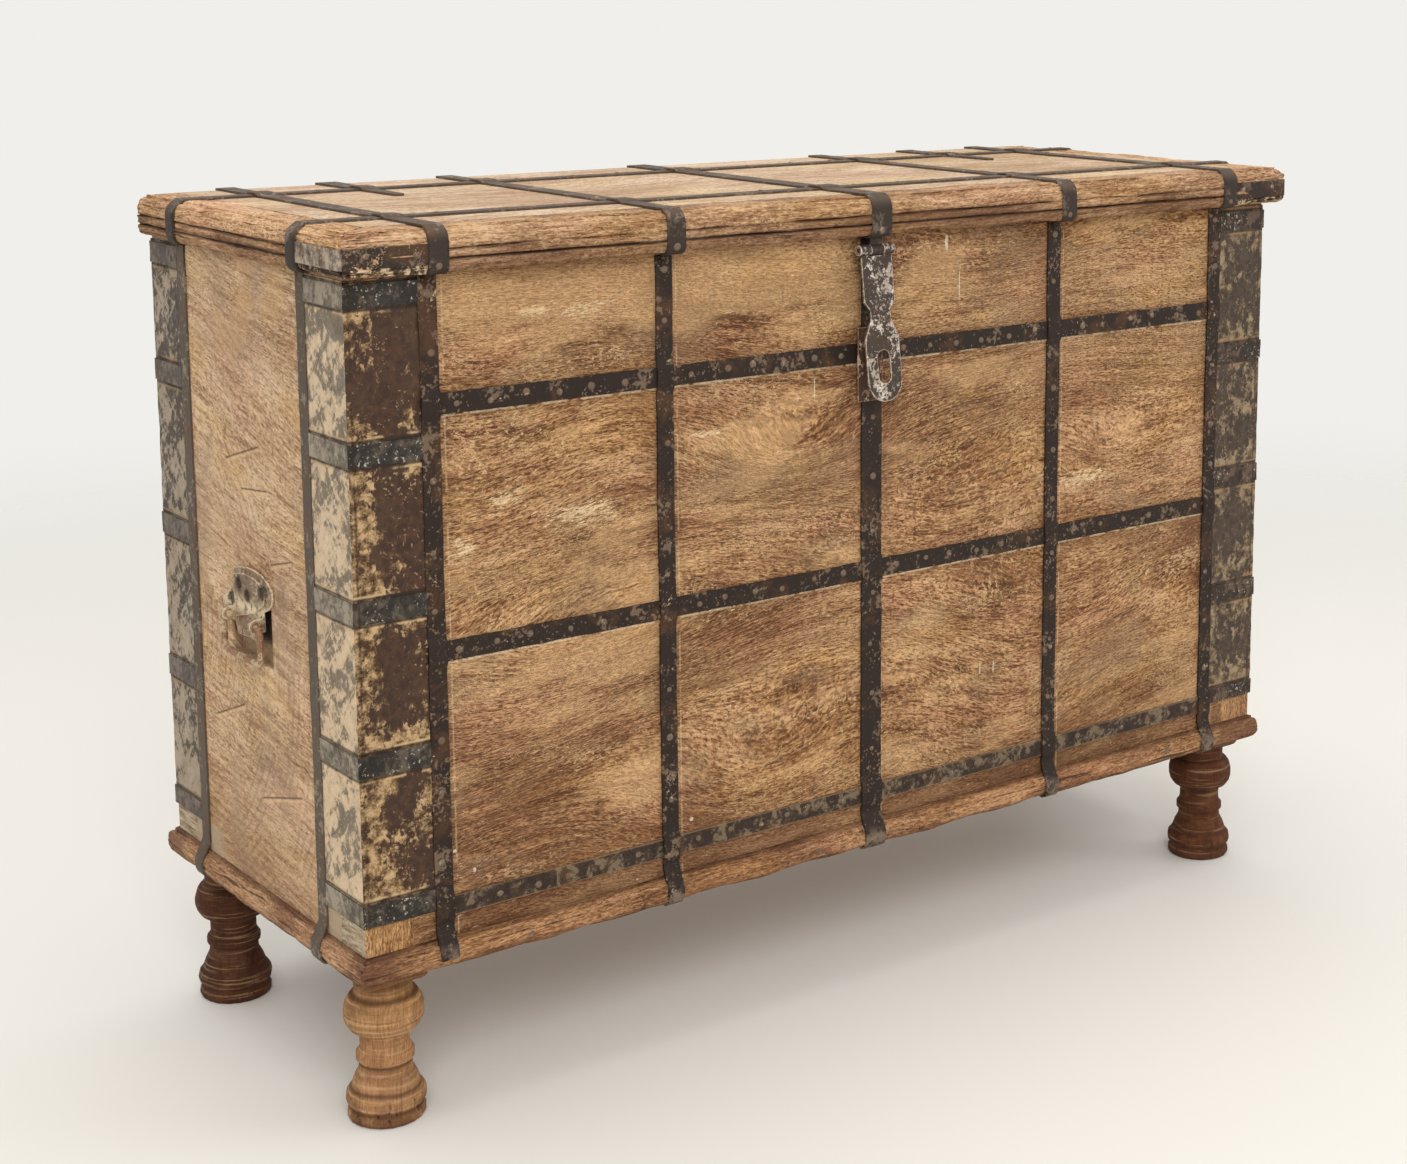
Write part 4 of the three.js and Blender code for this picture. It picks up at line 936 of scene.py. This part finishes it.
def slice_along(piece, direction, spacing):
    """Cuts the mesh across a direction at even steps, so that it can be bent."""
    pick(piece)
    reaches = [vertex.co.dot(direction) for vertex in piece.data.vertices]
    low, high = min(reaches), max(reaches)
    count = int((high - low) / spacing)
    bpy.ops.object.mode_set(mode="EDIT")
    for i in range(1, count + 1):
        bpy.ops.mesh.select_all(action="SELECT")
        level = low + (high - low) * i / (count + 1)
        bpy.ops.mesh.bisect(plane_co=direction * level, plane_no=direction)
    bpy.ops.object.mode_set(mode="OBJECT")


def remesh(piece, size):
    pick(piece)
    piece.data.remesh_voxel_size = size
    piece.data.remesh_voxel_adaptivity = 0
    bpy.ops.object.voxel_remesh()


def smooth(piece, times):
    """Evens out small facets."""
    pick(piece)
    modifier = piece.modifiers.new("Even", "SMOOTH")
    modifier.iterations = times
    bpy.ops.object.modifier_apply(modifier=modifier.name)


def displace(piece, size, strength, direction="NORMAL", mid=0.5, depth=2, stretch=(1, 1, 1), seed=0.0,
             contrast=1.0, bright=1.0):
    """Moves the surface by a cloud pattern, whose lumps are of the size times the stretch."""
    pick(piece)
    texture = bpy.data.textures.new("Lumps", "CLOUDS")
    texture.noise_scale = 1.0
    texture.noise_depth = depth
    texture.contrast = contrast
    texture.intensity = bright
    holder = bpy.data.objects.new("Lumps place", None)
    bpy.context.collection.objects.link(holder)
    holder.scale = [size * part for part in stretch]
    holder.location = (seed, 2.3 * seed, 0.7 * seed)
    bpy.context.view_layer.update()
    modifier = piece.modifiers.new("Lumps", "DISPLACE")
    modifier.texture = texture
    modifier.texture_coords = "OBJECT"
    modifier.texture_coords_object = holder
    modifier.strength = strength
    modifier.mid_level = mid
    modifier.direction = direction
    bpy.ops.object.modifier_apply(modifier=modifier.name)
    bpy.data.objects.remove(holder)
    bpy.data.textures.remove(texture)


def soften(piece, angle):
    """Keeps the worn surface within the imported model's box and shades it smooth up to an angle."""
    low, high = CAD_BOX
    for vertex in piece.data.vertices:
        for axis in range(3):
            vertex.co[axis] = min(max(vertex.co[axis], low[axis]), high[axis])
    pick(piece)
    bpy.ops.object.shade_smooth_by_angle(angle=math.radians(angle))


def worn_level(height):
    """Where wear has brought a height of the new leg."""
    for (low, low_worn), (high, high_worn) in zip(LEG_LEVELS, LEG_LEVELS[1:]):
        if height <= high:
            return low_worn + (high_worn - low_worn) * (height - low) / (high - low)
    return height


# Operators

class TRUNK_OT_wear_wood(bpy.types.Operator):
    """Wears the mouldings of lid and base and the turned legs"""
    bl_idname = "trunk.wear_wood"
    bl_label = "Worn wood shapes"

    def execute(self, context):
        rails = [f"lid_rail_{side}" for side in ("front", *ENDS)]
        rails += [f"frame_rail_{side}" for side in (*SIDES, *ENDS)]
        for index, node in enumerate(rails):
            part = node.split("_")[0]
            sideways = node.endswith(tuple(ENDS))
            stretch = (1, 9, 1) if sideways else (9, 1, 1)
            piece = worn_copy(node, "lid" if part == "lid" else "case")
            slice_along(piece, BACKWARD if sideways else RIGHTWARD, 8 * MM)
            slice_along(piece, UPWARD, 5 * MM)
            displace(piece, 7 * MM, 0.6 * MM, mid=0.9, stretch=stretch, seed=index)
            displace(piece, 60 * MM, 1.4 * MM, mid=1.0, depth=3, seed=index + 0.5)
            displace(piece, 9 * MM, 2.2 * MM, mid=1.0, stretch=stretch, seed=index + 0.8, contrast=4,
                     bright=1.8)
            soften(piece, 45)
        for index, corner in enumerate(CORNERS):
            piece = worn_copy(f"leg_{corner}", "case")
            remesh(piece, 1.8 * MM)
            smooth(piece, 2)
            for vertex in piece.data.vertices:
                vertex.co.z = worn_level(vertex.co.z)
            displace(piece, 6 * MM, 0.35 * MM, mid=0.9, stretch=(1, 1, 6), seed=index + 10)
            displace(piece, 50 * MM, 1.2 * MM, mid=1.0, depth=3, seed=index + 20)
            soften(piece, 60)
        return {"FINISHED"}


class TRUNK_OT_wear_iron(bpy.types.Operator):
    """Bends the straps and sheets a little and hammers the forged fittings"""
    bl_idname = "trunk.wear_iron"
    bl_label = "Worn iron shapes"

    def execute(self, context):
        x, y, z = RIGHTWARD, BACKWARD, UPWARD
        straps = [(f"front_upright_{i}", z, x, "X") for i in STRAP_NUMBERS]
        straps += [(f"front_cross_{level}", x, z, "Z") for level in LEVELS]
        straps += [(f"{end}_strap_{side}", z, y, "Y") for end in ENDS for side in SIDES]
        straps += [(f"lid_strap_{i}", y, x, "X") for i in STRAP_NUMBERS]
        straps += [(f"lid_length_strap_{side}", x, y, "Y") for side in SIDES]
        for index, (node, length, across, letter) in enumerate(straps):
            body, slot = ("lid", "lid_strap_iron") if node.startswith("lid") else ("case", "strap_iron")
            piece = worn_copy(node, body)
            slice_along(piece, length, 18 * MM)
            slice_along(piece, across, 8 * MM)
            displace(piece, 120 * MM, 2.6 * MM, letter, seed=index + 0.3)
            displace(piece, 22 * MM, 1.5 * MM, letter, seed=index + 0.6)
            displace(piece, 30 * MM, 0.9 * MM, seed=index + 0.9)
            soften(piece, 40)
        for index, corner in enumerate(CORNERS):
            piece = worn_copy(f"corner_sheet_{corner}", "case")
            for direction in (x, y, z):
                slice_along(piece, direction, 11 * MM)
            displace(piece, 45 * MM, 2.0 * MM, seed=index + 30)
            displace(piece, 16 * MM, 1.3 * MM, seed=index + 40)
            soften(piece, 35)
        fittings = [("hasp", "hasp", 1.4 * MM, 1.2 * MM), ("hasp_staple", "case", 1.3 * MM, 1.0 * MM)]
        for end in ENDS:
            fittings += [(f"handle_plate_{end}", "case", 1.5 * MM, 1.4 * MM),
                         (f"handle_bail_{end}", f"bail_{end}", 1.2 * MM, 1.2 * MM)]
        for index, (node, body, voxel, depth) in enumerate(fittings):
            piece = worn_copy(node, body)
            remesh(piece, voxel)
            displace(piece, 14 * MM, depth, seed=index + 50)
            displace(piece, 4 * MM, 0.5 * MM, seed=index + 60)
            soften(piece, 60)
        return {"FINISHED"}


class TRUNK_OT_wood(bpy.types.Operator):
    """Gives every board, post, rail and leg its wood"""
    bl_idname = "trunk.wood"
    bl_label = "Wood"

    def execute(self, context):
        dark, mid, pale, bleached, side_mid = tones(
            "wood_dark", "wood_mid", "wood_pale", "bleached_mid", "side_mid")
        front_colours = (dark, mid, toned(pale, 1.08))
        end_colours = (shade(122, 84, 54), side_mid, shade(232, 202, 168))
        for index, level in enumerate(("lower", "upper")):
            dress(wood(f"Front wood {level}", "x", (1.7 * index, 0.4, 0.9 * index), front_colours, 0.13, 125,
                       front_dirt_and_shade, figure=True, chips=0.8, even=0.76), f"front_board_{level}")
            for end in ENDS:
                dress(wood(f"{end} wood {level}", "slant", (1.7 * index, 3.2, 0.9 * index + 0.5), end_colours,
                           0.1, 60, end_marks_and_shade, 0.6, even=0.85), f"{end}_board_{level}")
        dress(wood("Back wood", "x", (4.2, 1.0, 0.3), (dark, mid, pale), 0.09, 80),
              "back_board", "bottom_board")
        dress(wood("Post wood", "z", (0, 0, 0), (dark, mid, pale), 0.03, 90, post_stains),
              *[f"post_{corner}" for corner in CORNERS])
        self.rails()
        self.legs()
        top = (shade(150, 116, 82), bleached, shade(230, 206, 178))
        for index, side in enumerate(SIDES):
            dress(wood(f"Lid board wood {side}", "x", (0.9 * index, 0.3, 0.4), top, 0.08, 60, strength=0.4),
                  f"lid_board_{side}")
        return {"FINISHED"}

    @staticmethod
    def rails():
        base = (shade(74, 42, 21), shade(150, 106, 70), shade(200, 156, 112))
        pale_base = (shade(100, 64, 38), shade(176, 134, 98), shade(212, 174, 136))
        lid = (shade(104, 66, 38), shade(176, 136, 100), shade(222, 186, 146))
        pale_lid = [toned(tone, 1.2) for tone in lid]
        for side in (*SIDES, *ENDS):
            axis = "y" if side in ENDS else "x"
            colours = pale_base if side in ENDS else base
            dress(wood(f"Frame wood {side}", axis, (2.3, 0, 0.6), colours, 0.02, 120, base_rail_stains, 0.6),
                  f"frame_rail_{side}")
            if side == "back":
                continue
            colours = pale_lid if side in ENDS else lid
            dress(wood(f"Lid rail wood {side}", axis, (0.3, 0, 0.1), colours, 0.02, 130, lid_rail_stains,
                       0.5),
                  f"lid_rail_{side}")

    @staticmethod
    def legs():
        """The legs differ: one is pale, and two are nearly black, partly from their stain and partly from
        painted shade.
        """
        # the two nearly black legs are darkened partly by stain and partly by painted shade
        leg_woods_and_shade = {
            "front_left": ((shade(98, 62, 36), shade(161, 120, 79), shade(202, 162, 116)), 1.0),
            "front_right": ((shade(36, 17, 8), shade(76, 38, 17), shade(116, 70, 38)), 0.7),
            "back_left": ((shade(28, 12, 6), shade(64, 31, 13), shade(98, 56, 30)), 0.7),
            "back_right": ((shade(70, 40, 22), shade(128, 84, 52), shade(168, 120, 80)), 0.8),
        }
        for corner, (colours, depth) in leg_woods_and_shade.items():
            dress(wood(f"Turned wood {corner}", "z", (0, 0.2, 0), colours, 0.03, 130, leg_dirt_and_shade(depth), 0.25,
                       chips=0.15, even=2.0), f"leg_{corner}")


class TRUNK_OT_iron(bpy.types.Operator):
    """Gives straps, sheets and fittings their iron and old paint"""
    bl_idname = "trunk.iron"
    bl_label = "Iron"

    def execute(self, context):
        dark, worn = tones("iron_dark", "iron_worn")
        dress(iron("Strap iron", dark, worn, 0.28, wear=0.58, change=rubbed_tip),
              *[f"front_upright_{i}" for i in STRAP_NUMBERS], "front_cross_middle", "front_cross_high",
              *[f"hinge_back_leaf_{end}" for end in ENDS])
        dress(iron("Low strap iron", shade(54, 40, 31), shade(112, 98, 80), 0.24, change=crusty),
              "front_cross_low")
        dress(iron("Lid strap iron", shade(84, 70, 58), shade(142, 126, 108), 0.24, change=lid_drop),
              *[f"lid_strap_{i}" for i in STRAP_NUMBERS], *[f"lid_length_strap_{side}" for side in SIDES],
              *[f"hinge_top_leaf_{end}" for end in ENDS])
        dress(iron("End strap iron", shade(88, 76, 64), shade(146, 132, 114), 0.26),
              *[f"{end}_strap_{side}" for end in ENDS for side in SIDES])
        dress(iron("Hasp iron", shade(68, 57, 50), shade(190, 173, 158), 0.39, 0.35, shade(220, 208, 194),
                   rubbed=1.0, wear=0.76), "hasp")
        dress(iron("Staple iron", shade(70, 46, 32), shade(160, 126, 96), 0.42, 0.15, shade(204, 176, 148),
                   rubbed=0.8), "hasp_staple")
        dress(iron("Bail iron", shade(132, 98, 72), shade(214, 184, 152), 0.5, 0.1, rubbed=0.5),
              *[f"handle_bail_{end}" for end in ENDS])
        for end in ENDS:
            dress(iron(f"Handle iron {end}", shade(132, 112, 90), shade(206, 180, 148), 0.42, 0.1, rubbed=0.9,
                       change=plate_tones(end)), f"handle_plate_{end}")
        for corner in CORNERS:
            dress(painted_sheet(corner), f"corner_sheet_{corner}")
        plates = {"left": (shade(46, 34, 27), shade(128, 106, 86), 0.37, 0.15, shade(192, 154, 114)),
                  "right": (shade(42, 30, 24), shade(112, 90, 72), 0.3, 0.15, shade(170, 122, 84))}
        for end, plate in plates.items():
            dress(iron(f"Lid corner iron {end}", *plate, strength=0.9, change=greyed_end),
                  f"lid_corner_plate_{end}")
        return {"FINISHED"}


# A nail's rings from its collar to its middle: how far each rises, and its share of the last one's width
NAIL_RINGS = ((0.2, 1.0), (0.08, 0.8), (0.4, 0.94), (0.22, 0.72), (-0.12, 0.6))
COLLAR_SHARE = 1.25
NAIL_SUNK = 0.3 * MM

# How nails differ: width and height as shares of the usual, lean, and how far they miss their place,
# as a share of the head and of the step along the strap
NAIL_WIDTHS = (0.8, 1.15)
NAIL_HEIGHTS = (0.7, 1.2)
NAIL_LEAN = 0.06
MISS_ACROSS = 0.4
MISS_ALONG = 0.14

# How far rows of nails keep from a strap's foot, top and ends, and from a strap that crosses it
FOOT_MARGIN = 30 * MM
TOP_MARGIN = 15 * MM
END_MARGIN = 50 * MM
CROSSING_MARGIN = 30 * MM

# Nails of the base moulding: how far below its top, and about how far apart
BASE_NAIL_DROP = 22 * MM
BASE_NAIL_SPACING = 260 * MM

# How far before its start the ray of a nail sets out
RAY_START = 200 * MM


def nail_model():
    """One hammered nail, its face towards +Z: a dark collar, a pale rim that is partly rubbed iron and partly a
    painted ring highlight, and a dark middle.
    """
    radius = looks().nail_diameter / 2
    height = looks().nail_height
    deselect()
    bpy.ops.mesh.primitive_circle_add(vertices=8, radius=radius * COLLAR_SHARE, fill_type="NGON")
    nail = bpy.context.object
    nail.name = "nail_model"
    bpy.ops.object.mode_set(mode="EDIT")
    bpy.ops.mesh.select_all(action="SELECT")
    for rise, share in NAIL_RINGS:
        bpy.ops.mesh.extrude_region_move(TRANSFORM_OT_translate={"value": (0, 0, rise * height)})
        bpy.ops.transform.resize(value=(share, share, 1))
    bpy.ops.object.mode_set(mode="OBJECT")
    bpy.ops.object.shade_smooth()
    collar_top = 0.24 * height
    middle_reach = 0.3 * radius
    for face in nail.data.polygons:
        on_rim = face.center.z > collar_top and face.center.xy.length > middle_reach
        face.material_index = 0 if on_rim else 1
    return nail


class Nailer:
    """Drives rows of nails, and takes every random draw for them from one seed."""

    def __init__(self):
        settings = looks()
        self.rng = random.Random(settings.seed)
        self.spacing = settings.nail_spacing
        self.astray = MISS_ACROSS * settings.nail_diameter
        self.model = nail_model()
        self.finish = (
            # the pale rim of each nail is partly rubbed iron and partly a painted ring highlight
            iron("Nail rim iron", shade(108, 90, 74), shade(158, 138, 116), 0.3, 0.2, strength=0.3),
            iron("Nail iron", shade(44, 32, 26), shade(96, 80, 66), 0.2, 0.2, strength=0.3))

    def about(self, value):
        """The value, which a nail misses by a little."""
        return value + self.rng.uniform(-self.astray, self.astray)

    def along(self, start, end, step, avoid=(), clear=0.0):
        """Numbers from start to end at about the step, none closer than clear to those to avoid."""
        count = max(int(round(abs(end - start) / step)), 1)
        made = [start + (end - start) * i / count + self.rng.uniform(-MISS_ALONG, MISS_ALONG) * step
                for i in range(count + 1)]
        return [value for value in made if all(abs(value - other) > clear for other in avoid)]

    def nail(self, name, point, outward):
        """A copy of the nail on a point, a little turned and tilted, its face outward."""
        copy = bpy.data.objects.new(name, self.model.data.copy())
        bpy.context.collection.objects.link(copy)
        size = self.rng.uniform(*NAIL_WIDTHS)
        spin = Matrix.Rotation(self.rng.uniform(0, math.tau), 4, "Z")
        tilt = Matrix.Rotation(self.rng.uniform(-NAIL_LEAN, NAIL_LEAN), 4, "X")
        shape = Matrix.Diagonal((size, size, self.rng.uniform(*NAIL_HEIGHTS), 1))
        aim = outward.to_track_quat("Z", "Y").to_matrix().to_4x4()
        copy.data.transform(Matrix.Translation(point - outward * NAIL_SUNK) @ aim @ tilt @ spin @ shape)
        return copy

    def row(self, name, body, node, starts, direction):
        """One piece of nails on a node, each found by a ray from before its start."""
        rays = [piece_of(node).ray_cast(Vector(start) - direction * RAY_START, direction) for start in starts]
        copies = [self.nail(name, point, normal) for found, point, normal, _ in rays if found]
        if not copies:
            raise RuntimeError(f"no nail of {name} meets {node}")
        deselect()
        for copy in copies:
            copy.select_set(True)
        bpy.context.view_layer.objects.active = copies[0]
        bpy.ops.object.join()
        row = bpy.context.object
        row.name = name
        row.data.materials.clear()
        for material in self.finish:
            row.data.materials.append(material)
        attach(row, body)


class TRUNK_OT_nails(bpy.types.Operator):
    """Drives the hand-made nails through straps, hinges, corner plates and the base"""
    bl_idname = "trunk.nails"
    bl_label = "Nails"

    def execute(self, context):
        nailer = Nailer()
        self.case_nails(nailer)
        self.lid_nails(nailer)
        for end, outward in ENDS.items():
            self.hinge_nails(nailer, end)
            self.corner_nails(nailer, end, outward)
        xs = nailer.along(
            UPRIGHTS[0] + 120 * MM, UPRIGHTS[-1] - 120 * MM, BASE_NAIL_SPACING, UPRIGHTS, 50 * MM)
        starts = [(x, STRAP_FRONT, nailer.about(FRAME_TOP - BASE_NAIL_DROP)) for x in xs]
        nailer.row("base_nails", "case", "frame_rail_front", starts, BACKWARD)
        bpy.data.objects.remove(nailer.model, do_unlink=True)
        return {"FINISHED"}

    @staticmethod
    def case_nails(nailer):
        for i, upright in enumerate(UPRIGHTS, 1):
            node = f"front_upright_{i}"
            levels = nailer.along(
                FRAME_TOP + FOOT_MARGIN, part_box(node)[1].z - TOP_MARGIN, nailer.spacing, CROSSES,
                CROSSING_MARGIN)
            starts = [(nailer.about(upright), STRAP_FRONT, level) for level in levels]
            nailer.row(f"upright_nails_{i}", "case", node, starts, BACKWARD)
        for name, cross in zip(LEVELS, CROSSES):
            node = f"front_cross_{name}"
            low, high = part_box(node)
            xs = nailer.along(
                low.x + END_MARGIN, high.x - END_MARGIN, 0.62 * nailer.spacing, UPRIGHTS, 28 * MM)
            starts = [(x, STRAP_FRONT, nailer.about(cross)) for x in xs]
            nailer.row(f"cross_nails_{name}", "case", node, starts, BACKWARD)
        for end, outward in ENDS.items():
            for side in SIDES:
                node = f"{end}_strap_{side}"
                levels = nailer.along(FRAME_TOP + FOOT_MARGIN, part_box(node)[1].z - TOP_MARGIN, nailer.spacing)
                starts = [(outward.x * CASE_SIDE, nailer.about(middle(node).y), level) for level in levels]
                nailer.row(f"{end}_strap_nails_{side}", "case", node, starts, -outward)

    @staticmethod
    def lid_nails(nailer):
        low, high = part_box("lid_strap_1")
        for i in STRAP_NUMBERS:
            node = f"lid_strap_{i}"
            strap = middle(node).x
            ys = nailer.along(
                low.y + END_MARGIN, high.y - 40 * MM, nailer.spacing, LENGTHWAYS, CROSSING_MARGIN)
            starts = [(nailer.about(strap), y, LID_TOP) for y in ys]
            nailer.row(f"lid_nails_{i}", "lid", node, starts, -UPWARD)
            nailer.row(f"lid_edge_nail_{i}", "lid", node, [(strap, low.y, LID_BOTTOM + 9 * MM)], BACKWARD)
        for side, y in zip(SIDES, LENGTHWAYS):
            node = f"lid_length_strap_{side}"
            low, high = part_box(node)
            xs = nailer.along(
                low.x + END_MARGIN, high.x - END_MARGIN, nailer.spacing, UPRIGHTS, CROSSING_MARGIN)
            starts = [(x, nailer.about(y), LID_TOP) for x in xs]
            nailer.row(f"lid_length_nails_{side}", "lid", node, starts, -UPWARD)

    @staticmethod
    def hinge_nails(nailer, end):
        node = f"hinge_back_leaf_{end}"
        low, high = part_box(node)
        centre = (low.x + high.x) / 2
        starts = [(centre, CASE_BACK, low.z + share * (high.z - low.z)) for share in (0.16, 0.45, 0.74)]
        nailer.row(f"hinge_back_nails_{end}", "case", node, starts, FRONTWARD)
        node = f"hinge_top_leaf_{end}"
        low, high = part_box(node)
        ys = [low.y + share * (high.y - low.y) for share in (0.12, 0.34, 0.62, 0.86)]
        starts = [(centre, y, LID_TOP) for y in ys if abs(y - LENGTHWAYS[1]) > 36 * MM]
        nailer.row(f"hinge_top_nails_{end}", "lid", node, starts, -UPWARD)

    @staticmethod
    def corner_nails(nailer, end, outward):
        node = f"lid_corner_plate_{end}"
        low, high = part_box(node)
        level = (low.z + high.z) / 2
        outer, inner = (low.x, high.x) if outward.x < 0 else (high.x, low.x)
        starts = [(outer + share * (inner - outer), low.y, nailer.about(level)) for share in (0.3, 0.86)]
        nailer.row(f"corner_nails_{end}", "lid", node, starts, BACKWARD)
        starts = [(outer, low.y + share * (high.y - low.y), nailer.about(level)) for share in (0.4, 0.82)]
        nailer.row(f"corner_end_nails_{end}", "lid", node, starts, -outward)


# The camera, fitted to the photograph
IMAGE_WIDTH = 1407
IMAGE_HEIGHT = 1164
CENTRE_PIXEL_X = 895.8
CENTRE_PIXEL_Y = 360.8
FOCAL_PIXELS = 2360.4
SENSOR_WIDTH = 36
CAMERA_PLACE = (-2.156, -3.035, 1.544)
CAMERA_YAW = -0.6775
CAMERA_PITCH = 0.1617
CAMERA_ROLL = 0.0034

# Lamps: place, size and share of the key light's power
LAMPS = {
    "Key": ((-3.9, -6.3, 5.1), 4.8, 1.0),
    "Fill": ((5.4, -3.9, 3.6), 4.5, 0.22),
    "Top": ((0.0, 0.7, 6.0), 5.0, 0.35),
}
LAMP_TARGET = Vector((0, 0, 0.6))

# The lamps throw their light at the trunk, so that the floor near them stays below white
LAMP_SPREAD = math.radians(100)

# The floor fades into the even background between these distances from the trunk
FLOOR_RADIUS = 9
FLOOR_FADE = (1.8, 5.0)
SKY_COLOUR = shade(240, 239, 235)


class TRUNK_OT_stage(bpy.types.Operator):
    """Sets the floor, the soft light and the camera"""
    bl_idname = "trunk.stage"
    bl_label = "Stage"

    def execute(self, context):
        self.floor()
        self.sky(context.scene)
        for name, (place, size, share) in LAMPS.items():
            self.lamp(name, Vector(place), size, share * looks().key_power)
        self.camera(context.scene)
        context.scene.view_settings.view_transform = "Standard"
        return {"FINISHED"}

    @staticmethod
    def floor():
        deselect()
        bpy.ops.mesh.primitive_circle_add(
            vertices=64, radius=FLOOR_RADIUS, fill_type="NGON", location=(0, 0, 0))
        floor = bpy.context.object
        floor.name = "floor"
        material, graph, place = blank_material("Floor")
        cloud = graph.noise(place, 0.9, 3.0, 0.5)
        pale = tuple(looks().floor_colour)
        x, y, _ = graph.split(place)
        alpha = graph.fall(graph.length(x, y), *FLOOR_FADE)
        finish_material(graph, graph.blend(cloud, pale, toned(pale, 0.96)), 0.6, cloud, 0.02, MM,
                        specular=0.2, alpha=alpha)
        floor.data.materials.append(material)

    @staticmethod
    def sky(scene):
        """An even world, plain and nearly white where it is seen and dimmer as a light."""
        scene.world = bpy.data.worlds.new("Soft light")
        scene.world.use_nodes = True
        scene.world.node_tree.nodes.clear()
        graph = Graph(scene.world.node_tree)
        rays = graph.put("LightPath")
        kinds = ("Camera", "Transmission", "Glossy")
        seen = graph.most(*[graph.value(rays, f"Is {kind} Ray") for kind in kinds])
        strength = looks().sky_strength
        light = graph.put("Background", {"Color": SKY_COLOUR, "Strength": (1.0 - strength) * seen + strength})
        graph.put("OutputWorld", {"Surface": graph.value(light)})

    @staticmethod
    def lamp(name, place, size, power):
        data = bpy.data.lights.new(name, "AREA")
        data.shape = "DISK"
        data.size = size
        data.spread = LAMP_SPREAD
        data.energy = power
        lamp = bpy.data.objects.new(name, data)
        bpy.context.collection.objects.link(lamp)
        aim = (LAMP_TARGET - place).to_track_quat("-Z", "Y").to_matrix().to_4x4()
        lamp.matrix_world = Matrix.Translation(place) @ aim

    @staticmethod
    def camera(scene):
        data = bpy.data.cameras.new("Camera")
        camera = bpy.data.objects.new("Camera", data)
        bpy.context.collection.objects.link(camera)
        data.sensor_fit = "HORIZONTAL"
        data.sensor_width = SENSOR_WIDTH
        data.lens = FOCAL_PIXELS / IMAGE_WIDTH * SENSOR_WIDTH
        data.shift_x = (IMAGE_WIDTH / 2 - CENTRE_PIXEL_X) / IMAGE_WIDTH
        data.shift_y = (CENTRE_PIXEL_Y - IMAGE_HEIGHT / 2) / IMAGE_WIDTH
        data.clip_end = 100
        aim = Matrix.Rotation(CAMERA_YAW, 4, "Z") @ Matrix.Rotation(math.pi / 2 - CAMERA_PITCH, 4, "X")
        camera.matrix_world = Matrix.Translation(CAMERA_PLACE) @ aim @ Matrix.Rotation(CAMERA_ROLL, 4, "Z")
        scene.camera = camera


class TRUNK_PT_panel(bpy.types.Panel):
    """Lists the trunk's operators"""
    bl_idname = "TRUNK_PT_panel"
    bl_label = "Trunk"
    bl_space_type = "VIEW_3D"
    bl_region_type = "UI"
    bl_category = "Trunk"

    def draw(self, context):
        for operator in OPERATORS:
            self.layout.operator(operator.bl_idname)
        for name in TrunkLooks.__annotations__:
            self.layout.prop(looks(), name)


OPERATORS = [
    TRUNK_OT_wear_wood, TRUNK_OT_wear_iron, TRUNK_OT_wood, TRUNK_OT_iron, TRUNK_OT_nails, TRUNK_OT_stage]
CLASSES = [TrunkLooks, *OPERATORS, TRUNK_PT_panel]


def register():
    for each in CLASSES:
        bpy.utils.register_class(each)
    bpy.types.Scene.trunk_looks = PointerProperty(type=TrunkLooks)


def unregister():
    del bpy.types.Scene.trunk_looks
    for each in reversed(CLASSES):
        bpy.utils.unregister_class(each)


def main():
    register()
    bpy.ops.trunk.wear_wood()
    bpy.ops.trunk.wear_iron()
    bpy.ops.trunk.wood()
    bpy.ops.trunk.iron()
    bpy.ops.trunk.nails()
    bpy.ops.trunk.stage()


if __name__ == "__main__":
    main()
